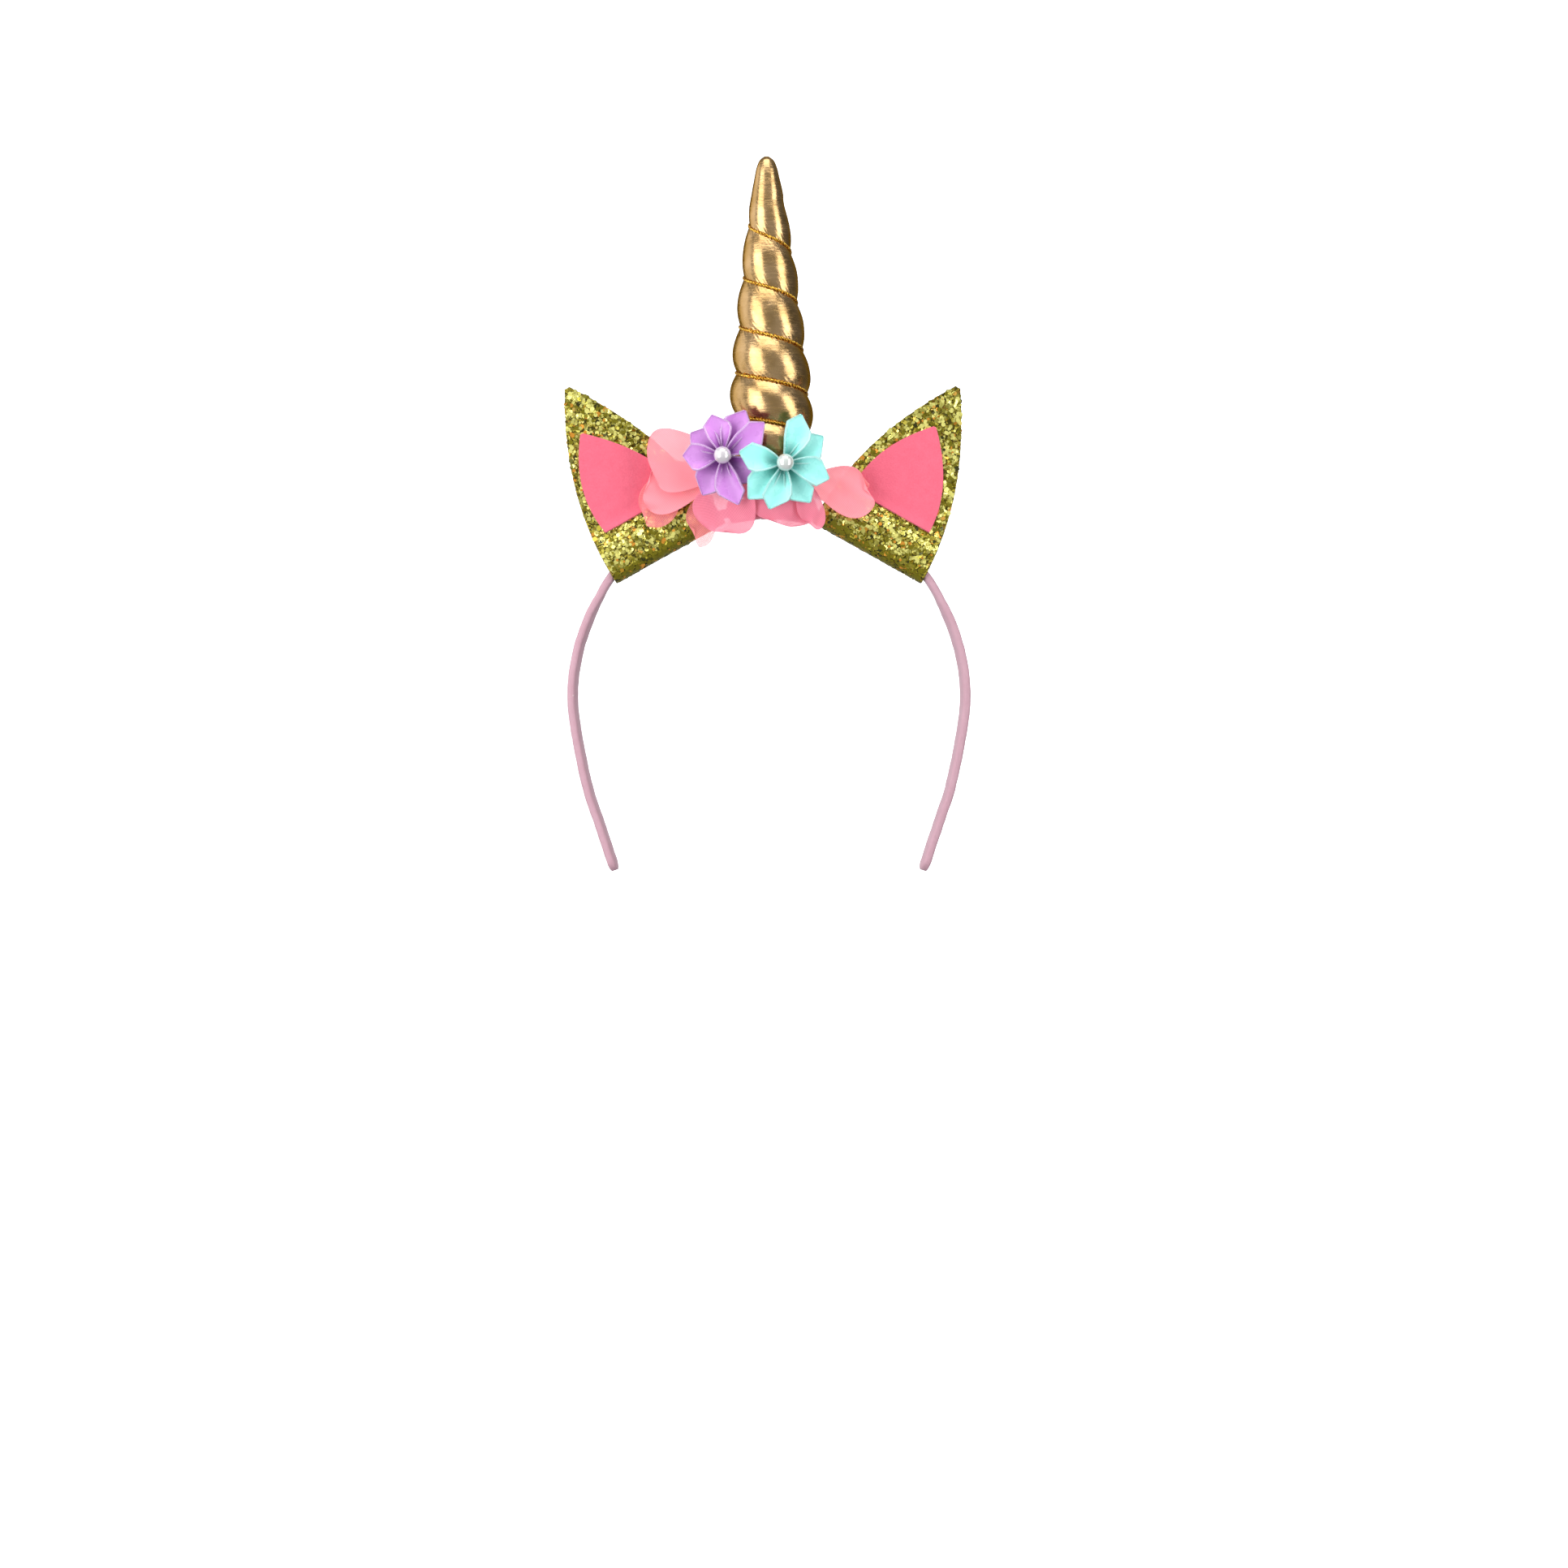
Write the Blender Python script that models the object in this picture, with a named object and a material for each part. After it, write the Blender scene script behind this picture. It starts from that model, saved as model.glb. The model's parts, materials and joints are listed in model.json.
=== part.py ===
# Costume headband with a gold unicorn horn, two ears, ribbon flowers and sheer petals.
# Metres, +Z up. The wearer looks along -Y, +X is at the right of a front view.
# The origin is under the crown, where the pink wrap rests on the head.

import math

import bmesh
import bpy
import numpy as np
from mathutils import Vector

MM = 0.001

# Air left between glued neighbours
GAP = 0.3 * MM

# Headband strip
BAND_REACH = 78.0 * MM
BAND_DROP = 145.0 * MM
BAND_THICKNESS = 3.5 * MM
BAND_WIDTH = 9.0 * MM
BAND_EDGE_RADIUS = 1.3 * MM
BAND_TIP_LENGTH = 4.0 * MM
BAND_TIP_SLIMMING = 0.9

# Degrees that the arms turn about their own line below the ears, front edges outward
BAND_TILT = 9.0
BAND_TILT_START = 6.0 * MM
BAND_TILT_LENGTH = 14.0 * MM

# Largest corner radius, as a share of the strip's thickness or width
EDGE_SHARE = 0.45

# Felt wound round the strip under the horn
WRAP_THICKNESS = 2.5 * MM
WRAP_LENGTH = 33.0 * MM

# Stuffed horn
HORN_HEIGHT = 138.0 * MM
HORN_RADIUS = 16.7 * MM
HORN_OFFSET = 1.6 * MM
HORN_LEAN = 2.6 * MM
GROOVE_DEPTH = 2.1 * MM
CORD_DIAMETER = 1.2 * MM

# Folded glitter ears
EAR_SEAT = 44.6 * MM
EAR_HEIGHT = 77.4 * MM
EAR_HALF_WIDTH = 25.3 * MM
EAR_SHEET = 1.0 * MM
EAR_FOLD_RADIUS = 2.6 * MM
EAR_CLOSING = 13.0 * MM
LEAF_ROUNDNESS = 2.1
LEAF_TIP = 0.988

# Felt inner ears
FELT_RISE = 19.0 * MM
FELT_HEIGHT = 38.0 * MM
FELT_HALF_WIDTH = 17.5 * MM
FELT_THICKNESS = 1.0 * MM

# Sheer petals
CHIFFON_LENGTH = 36.0 * MM
CHIFFON_WIDTH = 26.0 * MM
CHIFFON_WALL = 1.0 * MM
CHIFFON_CLEARANCE = 0.42 * MM

# Ribbon flowers
RIBBON_WIDTH = 10.8 * MM
RIBBON_WALL = 0.9 * MM
PETAL_LENGTH = 18.5 * MM
PETAL_ROOT = 2.6 * MM
PETAL_CUP = 0.9 * MM
PETAL_STEP = 1.9 * MM
PEARL_DIAMETER = 7.0 * MM

# Inner line of the strip, from the crown to the tip of one arm
# reach share of BAND_REACH, drop share of BAND_DROP
BAND_LINE = (
    (0.000, 0.000),
    (0.272, 0.023),
    (0.544, 0.080),
    (0.715, 0.139),
    (0.807, 0.191),
    (0.891, 0.272),
    (0.953, 0.355),
    (0.988, 0.434),
    (1.000, 0.499),
    (0.995, 0.566),
    (0.963, 0.671),
    (0.918, 0.779),
    (0.868, 0.859),
    (0.781, 1.000),
)

# Puffed outline of the horn
# height share of HORN_HEIGHT, radius share of HORN_RADIUS
HORN_LINE = (
    (0.000, 0.970),
    (0.100, 1.000),
    (0.200, 1.000),
    (0.320, 0.985),
    (0.453, 0.870),
    (0.585, 0.745),
    (0.737, 0.590),
    (0.836, 0.455),
    (0.893, 0.382),
    (0.931, 0.318),
    (0.965, 0.255),
    (0.988, 0.175),
    (1.000, 0.060),
)

# Turns of the cord: where the first turn starts and how far apart the turns lie
# shares of HORN_HEIGHT, and turns counted from the left edge of the front view
CORD_START = 0.797
CORD_PITCH = 0.159
CORD_TIGHTENING = 0.0048
CORD_FIRST_TURN = -0.3
CORD_LAST_TURN = 5.8
CORD_FADE = 0.25

# Sheer petals
# name, root across and root above the horn's foot in shares of HORN_RADIUS, angle in degrees,
# length share, width share, layer counted outward
CHIFFON_TABLE = (
    ("chiffon_left_top", -0.96, 0.73, 177, 0.97, 1.00, 2),
    ("chiffon_left_middle", -1.10, 0.60, 197, 1.00, 0.78, 1),
    ("chiffon_left_low", -2.24, 0.76, 241, 0.80, 0.66, 0),
    ("chiffon_left_hanging", -1.54, 0.15, 256, 0.62, 0.50, 0),
    ("chiffon_front_left", -0.66, 0.46, 240, 0.74, 1.00, 2),
    ("chiffon_front_middle", 0.29, 0.40, 271, 0.56, 1.00, 1),
    ("chiffon_front_right", 0.76, 0.33, 282, 0.56, 0.42, 2),
    ("chiffon_right_top", 0.64, 0.14, 3, 0.80, 0.62, 0),
    ("chiffon_right_low", 0.74, 0.36, 345, 0.82, 0.78, 1),
)

# Outline of a sheer petal: where it is widest and how round its end is
CHIFFON_BELLY = 1.4
CHIFFON_ROUNDNESS = 0.6
CHIFFON_START = 0.10
CHIFFON_END = 0.985
CHIFFON_ROW_EASE = 1.5

# Swell of the sheer layers over the horn's foot: its width, and how it tucks in below the foot
SWELL_WIDTH = 1.03 * HORN_RADIUS
TUCK_RATE = 0.6
TUCK_LIMIT = 0.25
LAYER_STEP = 1.1

# Ribbon petals: angle in degrees from +X in the front view, length share of PETAL_LENGTH
LILAC_PETALS = (
    (30, 1.12), (70, 1.08), (100, 0.92), (138, 0.90),
    (183, 0.90), (232, 0.96), (279, 1.10), (322, 0.80),
)
MINT_PETALS = (
    (65, 1.12), (27, 1.06), (-13, 1.04), (-61, 1.02),
    (-102, 1.04), (-141, 1.08), (-188, 1.00),
)

# Outline of a ribbon petal
# length share, half width share, cup share
PETAL_LINE = (
    (0.00, 0.20, 0.00),
    (0.14, 0.50, 0.30),
    (0.34, 0.86, 0.90),
    (0.54, 1.00, 1.00),
    (0.72, 0.97, 0.70),
    (0.86, 0.52, 0.30),
    (1.00, 0.05, 0.00),
)

# The two ears: name, side, lean of the leaf and lean of its felt as sideways shares of their heights
EAR_TABLE = (
    ("left", -1, -0.026, -0.100),
    ("right", 1, -0.008, -0.010),
)

# Places of the two flowers
# across and up in shares of HORN_RADIUS, turn about the vertical in degrees
LILAC_PLACE = (-1.16, 0.88, 9.0)
MINT_PLACE = (0.25, 0.69, -10.0)

# Facets, and the heights of the rows near the horn's tip
BAND_SECTIONS = 84
WRAP_SECTIONS = 9
HORN_SIDES = 20
HORN_ROWS = 53
HORN_TIP_ROWS = (0.95, 0.968, 0.983, 0.994, 1.0)
CORD_SIDES = 5
EAR_ROWS = 9
FOLD_ROWS = (0.0, 0.25, 0.6, 1.0)
CLOSING_ROWS = (0.2, 0.4, 0.6, 0.8, 1.0)
TUNNEL_ROWS = (0.2, 0.4, 0.55)
FELT_ROWS = 9
FELT_COLUMNS = 4
CHIFFON_ROWS = 8
CHIFFON_COLUMNS = 6
PETAL_COLUMNS = 4
PEARL_SIDES = 12

# Spacing of the points that seat one soft piece on another
SAMPLE_ROWS = 14
SAMPLE_REACH = 1.3 * MM
FOOT_SAMPLES = 45
FOOT_HEIGHT = 0.35


def clear_scene():
    for item in list(bpy.data.objects):
        bpy.data.objects.remove(item, do_unlink=True)


def make_material(name, colour, roughness, metallic=0.0):
    material = bpy.data.materials.new(name)
    material.use_nodes = True
    shader = material.node_tree.nodes["Principled BSDF"]
    shader.inputs["Base Color"].default_value = (*colour, 1.0)
    shader.inputs["Roughness"].default_value = roughness
    shader.inputs["Metallic"].default_value = metallic
    material.diffuse_color = (*colour, 1.0)
    return material


def make_object(name, material, verts, faces, smooth_angle=0.6):
    mesh = bpy.data.meshes.new(name)
    shape = bmesh.new()
    corners = [shape.verts.new(v) for v in verts]
    for face in faces:
        shape.faces.new([corners[i] for i in face])
    bmesh.ops.recalc_face_normals(shape, faces=shape.faces)
    shape.to_mesh(mesh)
    shape.free()
    mesh.shade_smooth()
    mesh.set_sharp_from_angle(angle=smooth_angle)
    mesh.materials.append(material)
    item = bpy.data.objects.new(name, mesh)
    bpy.context.collection.objects.link(item)
    return item


def loft(rings):
    """Skins a list of equal rings of points and closes both ends."""
    sides = len(rings[0])
    verts = [point for ring in rings for point in ring]
    faces = []
    for row in range(len(rings) - 1):
        for side in range(sides):
            near = row * sides + side
            beside = row * sides + (side + 1) % sides
            faces.append((near, beside, beside + sides, near + sides))
    faces.append(tuple(range(sides)))
    last = (len(rings) - 1) * sides
    faces.append(tuple(range(last, last + sides)))
    return verts, faces


def thick_sheet(grid, wall):
    """Turns a grid of mid-surface points into one closed sheet of the given wall."""
    points = np.array([[tuple(p) for p in row] for row in grid])
    along = np.gradient(points, axis=0)
    across = np.gradient(points, axis=1)
    normal = np.cross(along, across)
    normal /= np.linalg.norm(normal, axis=2, keepdims=True)
    rows, columns = points.shape[:2]
    front = points + normal * wall / 2
    back = points - normal * wall / 2
    verts = [tuple(p) for p in front.reshape(-1, 3)] + [tuple(p) for p in back.reshape(-1, 3)]
    shift = rows * columns
    faces = []
    for r in range(rows - 1):
        for c in range(columns - 1):
            corner = r * columns + c
            quad = (corner, corner + 1, corner + columns + 1, corner + columns)
            faces.append(quad)
            faces.append(tuple(i + shift for i in reversed(quad)))
    rim = [c for c in range(columns)]
    rim += [r * columns + columns - 1 for r in range(1, rows)]
    rim += [(rows - 1) * columns + c for c in range(columns - 2, -1, -1)]
    rim += [r * columns for r in range(rows - 2, 0, -1)]
    for here, there in zip(rim, rim[1:] + rim[:1]):
        faces.append((here, there, there + shift, here + shift))
    return verts, faces


def curve_through(table, count):
    """Points evenly spaced in the table's own steps on a smooth curve through its rows."""
    rows = np.array(table, dtype=float)
    padded = np.vstack([2 * rows[0] - rows[1], rows, 2 * rows[-1] - rows[-2]])
    result = []
    for share in np.linspace(0, len(rows) - 1, count):
        i = min(int(share), len(rows) - 2)
        t = share - i
        p0, p1, p2, p3 = padded[i:i + 4]
        result.append(0.5 * (2 * p1 + (p2 - p0) * t + (2 * p0 - 5 * p1 + 4 * p2 - p3) * t ** 2
                             + (3 * p1 - p0 - 3 * p2 + p3) * t ** 3))
    return np.array(result)


class BandPath:
    """Inner line of the strip, measured by arc length from the crown."""

    def __init__(self):
        crown = WRAP_THICKNESS + GAP
        arm = [(-reach, drop) for reach, drop in BAND_LINE[:0:-1]] + list(BAND_LINE)
        fine = curve_through(arm, 40 * len(arm))
        self.x = fine[:, 0] * BAND_REACH
        self.z = crown - fine[:, 1] * BAND_DROP
        steps = np.hypot(np.diff(self.x), np.diff(self.z))
        self.s = np.concatenate([[0.0], np.cumsum(steps)])
        self.s -= self.s[-1] / 2
        self.half = self.s[-1]

    def point(self, s):
        return Vector((np.interp(s, self.s, self.x), 0.0, np.interp(s, self.s, self.z)))

    def tangent(self, s):
        step = 1.0 * MM
        ahead = min(s + step, self.half)
        behind = max(s - step, -self.half)
        return (self.point(ahead) - self.point(behind)).normalized()

    def normal(self, s):
        t = self.tangent(s)
        return Vector((-t.z, 0.0, t.x))


def rounded_box(half_width, low, high, radius, steps=2):
    """Corner-rounded rectangle, points as (across, up)."""
    corners = (
        (half_width - radius, low + radius, -90),
        (half_width - radius, high - radius, 0),
        (-half_width + radius, high - radius, 90),
        (-half_width + radius, low + radius, 180),
    )
    points = []
    for across, up, start in corners:
        for k in range(steps + 1):
            angle = math.radians(start + 90 * k / steps)
            points.append((across + radius * math.cos(angle), up + radius * math.sin(angle)))
    return points


def band_ring(path, s, outline, tilt=0.0):
    """Places an outline across the strip, turned about the middle of its thickness."""
    base = path.point(s)
    normal = path.normal(s)
    middle = BAND_THICKNESS / 2
    ring = []
    for across, up in outline:
        side = across * math.cos(tilt) + (up - middle) * math.sin(tilt)
        rise = middle + (up - middle) * math.cos(tilt) - across * math.sin(tilt)
        ring.append(base + Vector((0.0, side, 0.0)) + normal * rise)
    return ring


def band_tilt(s):
    past_ear = (abs(s) - EAR_SEAT - EAR_HALF_WIDTH - BAND_TILT_START) / BAND_TILT_LENGTH
    share = min(1.0, max(0.0, past_ear))
    return math.radians(BAND_TILT) * share * share * (3 - 2 * share)


def make_band(path, material):
    rings = []
    for share in np.linspace(-1.0, 1.0, BAND_SECTIONS):
        s = share * path.half
        from_tip = path.half - abs(s)
        inset = max(0.0, 1.0 - from_tip / BAND_TIP_LENGTH)
        slim = math.sqrt(max(0.0, 1.0 - (BAND_TIP_SLIMMING * inset) ** 2))
        half = BAND_WIDTH / 2 * slim
        radius = min(BAND_EDGE_RADIUS, EDGE_SHARE * 2 * half, EDGE_SHARE * BAND_THICKNESS)
        outline = rounded_box(half, 0.0, BAND_THICKNESS, radius)
        rings.append(band_ring(path, s, outline, band_tilt(s)))
    return make_object("headband", material, *loft(rings))


def make_wrap(path, material):
    """A felt sleeve: outer ring and inner ring skinned apart and joined at both ends."""
    bore = BAND_WIDTH / 2 + GAP
    outer = rounded_box(bore + WRAP_THICKNESS, -GAP - WRAP_THICKNESS,
                        BAND_THICKNESS + GAP + WRAP_THICKNESS, WRAP_THICKNESS)
    radius = min(BAND_EDGE_RADIUS, EDGE_SHARE * BAND_THICKNESS)
    inner = rounded_box(bore, -GAP, BAND_THICKNESS + GAP, radius)
    sides = len(outer)
    stations = np.linspace(-WRAP_LENGTH / 2, WRAP_LENGTH / 2, WRAP_SECTIONS)
    verts = []
    for s in stations:
        verts += band_ring(path, s, outer) + band_ring(path, s, inner)
    faces = []
    for row in range(len(stations) - 1):
        for side in range(sides):
            beside = (side + 1) % sides
            low = row * 2 * sides
            high = low + 2 * sides
            faces.append((low + side, low + beside, high + beside, high + side))
            low += sides
            high += sides
            faces.append((low + beside, low + side, high + side, high + beside))
    for start in (0, (len(stations) - 1) * 2 * sides):
        for side in range(sides):
            beside = (side + 1) % sides
            faces.append((start + side, start + beside, start + sides + beside, start + sides + side))
    return make_object("crown_wrap", material, verts, faces)


def horn_base_height():
    return WRAP_THICKNESS + GAP + BAND_THICKNESS + GAP + WRAP_THICKNESS + GAP


def horn_radius(share):
    heights = [row[0] for row in HORN_LINE]
    radii = [row[1] for row in HORN_LINE]
    return HORN_RADIUS * float(np.interp(share, heights, radii))


def cord_share(turn):
    """Height share of the cord after so many turns."""
    return CORD_START - CORD_PITCH * turn + CORD_TIGHTENING * turn ** 2


def turn_at(share):
    root = CORD_PITCH ** 2 - 4 * CORD_TIGHTENING * (CORD_START - share)
    return (CORD_PITCH - math.sqrt(max(root, 0.0))) / (2 * CORD_TIGHTENING)


def groove_depth(share):
    return GROOVE_DEPTH * horn_radius(share) / HORN_RADIUS


def horn_centre(share):
    return Vector((HORN_OFFSET - HORN_LEAN * share, 0.0, horn_base_height() + HORN_HEIGHT * share))


def horn_point(share, angle):
    turn = turn_at(share)
    phase = turn - (angle - math.pi) / (2 * math.pi)
    fade_top = min(1.0, max(0.0, (turn - CORD_FIRST_TURN) / CORD_FADE + 1.0))
    pinch = ((1 + math.cos(2 * math.pi * phase)) / 2) ** 2 * fade_top
    radius = horn_radius(share) - groove_depth(share) * pinch
    outward = Vector((math.cos(angle), math.sin(angle), 0.0))
    return horn_centre(share) + outward * radius


def make_horn(material):
    below_tip = 2 * HORN_TIP_ROWS[0] - HORN_TIP_ROWS[1]
    shares = list(np.linspace(0.0, below_tip, HORN_ROWS)) + list(HORN_TIP_ROWS)
    rings = []
    for share in shares:
        rings.append([horn_point(share, 2 * math.pi * k / HORN_SIDES) for k in range(HORN_SIDES)])
    return make_object("horn", material, *loft(rings), smooth_angle=1.0)


def make_cord(material):
    """The cord lies in the groove, one point for each side of the horn."""
    first = math.ceil(CORD_FIRST_TURN * HORN_SIDES)
    last = math.floor(CORD_LAST_TURN * HORN_SIDES)
    centres = []
    outwards = []
    for step in range(first, last + 1):
        turn = step / HORN_SIDES
        share = cord_share(turn)
        angle = math.pi + 2 * math.pi * turn
        outward = Vector((math.cos(angle), math.sin(angle), 0.0))
        lift = 2 * GAP + CORD_DIAMETER / 2 - groove_depth(share)
        centres.append(horn_centre(share) + outward * (horn_radius(share) + lift))
        outwards.append(outward)
    rings = []
    for i, centre in enumerate(centres):
        ahead = centres[min(i + 1, len(centres) - 1)]
        behind = centres[max(i - 1, 0)]
        side = (ahead - behind).normalized().cross(outwards[i]).normalized()
        ring = []
        for k in range(CORD_SIDES):
            angle = 2 * math.pi * k / CORD_SIDES
            spoke = outwards[i] * math.cos(angle) + side * math.sin(angle)
            ring.append(centre + spoke * CORD_DIAMETER / 2)
        rings.append(ring)
    return make_object("horn_cord", material, *loft(rings), smooth_angle=1.4)


class EarFrame:
    """Local frame of one ear: along the strip, across it, and up its axis."""

    def __init__(self, path, side, lean):
        self.lean = lean
        near = path.point(side * (EAR_SEAT - EAR_HALF_WIDTH))
        far = path.point(side * (EAR_SEAT + EAR_HALF_WIDTH))
        left, right = (near, far) if side > 0 else (far, near)
        self.origin = (left + right) / 2
        self.along = (right - left).normalized()
        self.up = Vector((-self.along.z, 0.0, self.along.x))
        sags = []
        crests = []
        reach = 1.3 * EAR_HALF_WIDTH
        for s in np.linspace(side * EAR_SEAT - reach, side * EAR_SEAT + reach, BAND_SECTIONS):
            inner = path.point(s) - self.origin
            outer = inner + path.normal(s) * BAND_THICKNESS
            if abs(inner.dot(self.along)) < EAR_HALF_WIDTH + GAP:
                sags.append(-inner.dot(self.up))
                crests.append(outer.dot(self.up))
        self.fold = max(sags) + GAP + EAR_SHEET
        self.crest = self.fold + max(crests) + 2 * GAP

    def place(self, along, across, height):
        lift = height - self.fold
        shifted = along + self.lean * height
        return self.origin + self.along * shifted + Vector((0.0, across, 0.0)) + self.up * lift


def ear_half_depth(frame, height, inset=0.0):
    """Half of the folded sheet's depth at a height above the fold, or of the hollow inside it."""
    full = BAND_WIDTH / 2 + GAP + EAR_SHEET
    radius = EAR_FOLD_RADIUS
    if height < radius:
        return full - radius + math.sqrt(max(0.0, radius ** 2 - (radius - height) ** 2)) - inset
    closed = EAR_SHEET
    start = frame.crest + EAR_SHEET
    share = min(1.0, max(0.0, (height - start) / EAR_CLOSING))
    ease = share * share * (3 - 2 * share)
    return full + (closed - full) * ease - inset


def leaf_half_width(half_width, share):
    return half_width * (1 - share ** LEAF_ROUNDNESS)


def ear_heights(frame):
    start = frame.crest + EAR_SHEET
    heights = [EAR_FOLD_RADIUS * share for share in FOLD_ROWS] + [start]
    heights += [start + EAR_CLOSING * share for share in CLOSING_ROWS]
    heights += list(np.linspace(heights[-1], LEAF_TIP * EAR_HEIGHT, EAR_ROWS + 1)[1:])
    return heights


def make_ear(name, frame, material):
    rings = []
    for height in ear_heights(frame):
        half = leaf_half_width(EAR_HALF_WIDTH, height / EAR_HEIGHT)
        depth = ear_half_depth(frame, height)
        rings.append([frame.place(a, b, height) for a, b in
                      ((-half, -depth), (half, -depth), (half, depth), (-half, depth))])
    ear = make_object(name, material, *loft(rings))
    cutter = make_tunnel(name + "_tunnel", frame, material)
    cut = ear.modifiers.new("tunnel", "BOOLEAN")
    cut.operation = "DIFFERENCE"
    cut.solver = "EXACT"
    cut.object = cutter
    return ear


def make_tunnel(name, frame, material):
    """The hollow of the fold, where the strip passes through."""
    radius = EAR_FOLD_RADIUS - EAR_SHEET
    bore = BAND_WIDTH / 2 + GAP
    low = EAR_SHEET
    right = [(bore - radius, low), (bore - 0.3 * radius, low + 0.3 * radius), (bore, low + radius)]
    start = frame.crest + EAR_SHEET
    right.append((bore, start - 0.5 * EAR_SHEET))
    for share in TUNNEL_ROWS:
        height = start + EAR_CLOSING * share
        right.append((ear_half_depth(frame, height, EAR_SHEET + GAP / 2), height))
    outline = right + [(-across, up) for across, up in reversed(right)]
    reach = 1.2 * EAR_HALF_WIDTH
    rings = [[frame.place(along, across, up) for across, up in outline] for along in (-reach, reach)]
    cutter = make_object(name, material, *loft(rings))
    cutter.hide_render = True
    cutter.display_type = "WIRE"
    return cutter


def make_ear_felt(name, frame, lean, material):
    grid = []
    for share in np.linspace(0.0, LEAF_TIP, FELT_ROWS):
        height = FELT_RISE + FELT_HEIGHT * share
        half = leaf_half_width(FELT_HALF_WIDTH, share)
        depth = ear_half_depth(frame, height) + GAP + FELT_THICKNESS / 2
        shift = lean * FELT_HEIGHT * share
        across = np.linspace(-half, half, FELT_COLUMNS)
        grid.append([frame.place(a + shift, -depth, height) for a in across])
    return make_object(name, material, *thick_sheet(grid, FELT_THICKNESS))


def petal_pitch():
    return LAYER_STEP * (CHIFFON_WALL + GAP)


def drape_depth(x, z, layer):
    """Depth of the sheer layers, which lie over the horn's foot and pass in front of the ears."""
    ear_front = BAND_WIDTH / 2 + GAP + EAR_SHEET + CHIFFON_CLEARANCE + CHIFFON_WALL / 2
    horn_front = HORN_RADIUS + 2 * GAP + CHIFFON_WALL / 2
    swell = math.exp(-((x - HORN_OFFSET) / SWELL_WIDTH) ** 2)
    below = max(0.0, horn_base_height() - z) / HORN_RADIUS
    tuck = max(TUCK_LIMIT, 1.0 - TUCK_RATE * below ** 2)
    return ear_front + (horn_front - ear_front) * swell * tuck + layer * petal_pitch()


def chiffon_grid(row, rows, columns):
    """Mid-surface of one sheer petal, draped over what lies behind it."""
    across, up, angle, length_share, width_share, layer = row[1:]
    root = Vector((HORN_OFFSET + across * HORN_RADIUS, 0.0, horn_base_height() + up * HORN_RADIUS))
    turn = math.radians(angle)
    ahead = Vector((math.cos(turn), 0.0, math.sin(turn)))
    side = Vector((-math.sin(turn), 0.0, math.cos(turn)))
    length = CHIFFON_LENGTH * length_share
    half = CHIFFON_WIDTH * width_share / 2
    grid = []
    for step in np.linspace(0.0, 1.0, rows):
        a = CHIFFON_START + (CHIFFON_END - CHIFFON_START) * (1 - (1 - step) ** CHIFFON_ROW_EASE)
        width = half * max(0.0, math.sin(math.pi * a ** CHIFFON_BELLY)) ** CHIFFON_ROUNDNESS
        line = []
        for b in np.linspace(-1.0, 1.0, columns):
            spot = root + ahead * length * a + side * width * b
            spot.y = -drape_depth(spot.x, spot.z, layer)
            line.append(spot)
        grid.append(line)
    return grid


def make_chiffon(row, material):
    grid = chiffon_grid(row, CHIFFON_ROWS, CHIFFON_COLUMNS)
    return make_object(row[0], material, *thick_sheet(grid, CHIFFON_WALL))


class FlowerFrame:
    """Centre and facing of one ribbon flower."""

    def __init__(self, place):
        across, up, turn = place
        self.centre = Vector((HORN_OFFSET + across * HORN_RADIUS, 0.0,
                              horn_base_height() + up * HORN_RADIUS))
        angle = math.radians(turn)
        self.right = Vector((math.cos(angle), -math.sin(angle), 0.0))
        self.front = Vector((-math.sin(angle), -math.cos(angle), 0.0))

    def place(self, right, up, front):
        return self.centre + self.right * right + Vector((0.0, 0.0, up)) + self.front * front


def petal_lift(number):
    """Every second petal lies one step further forward."""
    return PETAL_STEP * (number % 2)


def ribbon_grid(frame, number, angle, length_share, rows, columns):
    """Mid-surface of one folded ribbon, cupped along its middle and pointed at its tip."""
    turn = math.radians(angle)
    length = PETAL_LENGTH * length_share - PETAL_ROOT
    reaches = [row[0] for row in PETAL_LINE]
    grid = []
    for a in (np.linspace(0.0, 1.0, rows) if rows else reaches):
        reach = PETAL_ROOT + length * a
        half = RIBBON_WIDTH / 2 * np.interp(a, reaches, [row[1] for row in PETAL_LINE])
        cup = PETAL_CUP * np.interp(a, reaches, [row[2] for row in PETAL_LINE])
        line = []
        for b in np.linspace(-1.0, 1.0, columns):
            right = reach * math.cos(turn) - half * b * math.sin(turn)
            up = reach * math.sin(turn) + half * b * math.cos(turn)
            line.append(frame.place(right, up, petal_lift(number) + cup * b * b))
        grid.append(line)
    return grid


def horn_front():
    """Samples of the horn's front, near its foot."""
    samples = []
    for share in np.linspace(0.0, FOOT_HEIGHT, FOOT_SAMPLES):
        for angle in np.linspace(math.pi, 2 * math.pi, FOOT_SAMPLES):
            outward = Vector((math.cos(angle), math.sin(angle), 0.0))
            samples.append(horn_centre(share) + outward * horn_radius(share))
    return samples


def seat_flower(frame, petals, samples):
    """Moves a flower back until it rests one gap in front of the samples behind it."""
    behind = np.array([tuple(p) for p in samples])
    own = []
    for number, (angle, length_share) in enumerate(petals, start=1):
        for line in ribbon_grid(frame, number, angle, length_share, SAMPLE_ROWS, SAMPLE_ROWS):
            own += [tuple(p) for p in line]
    own = np.array(own)
    across = own[:, None, 0] - behind[None, :, 0]
    up = own[:, None, 2] - behind[None, :, 2]
    near = np.hypot(across, up) < SAMPLE_REACH
    limit = np.where(near, behind[None, :, 1] - own[:, None, 1], np.inf).min()
    frame.centre.y += limit - GAP - RIBBON_WALL / 2
    return frame


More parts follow.
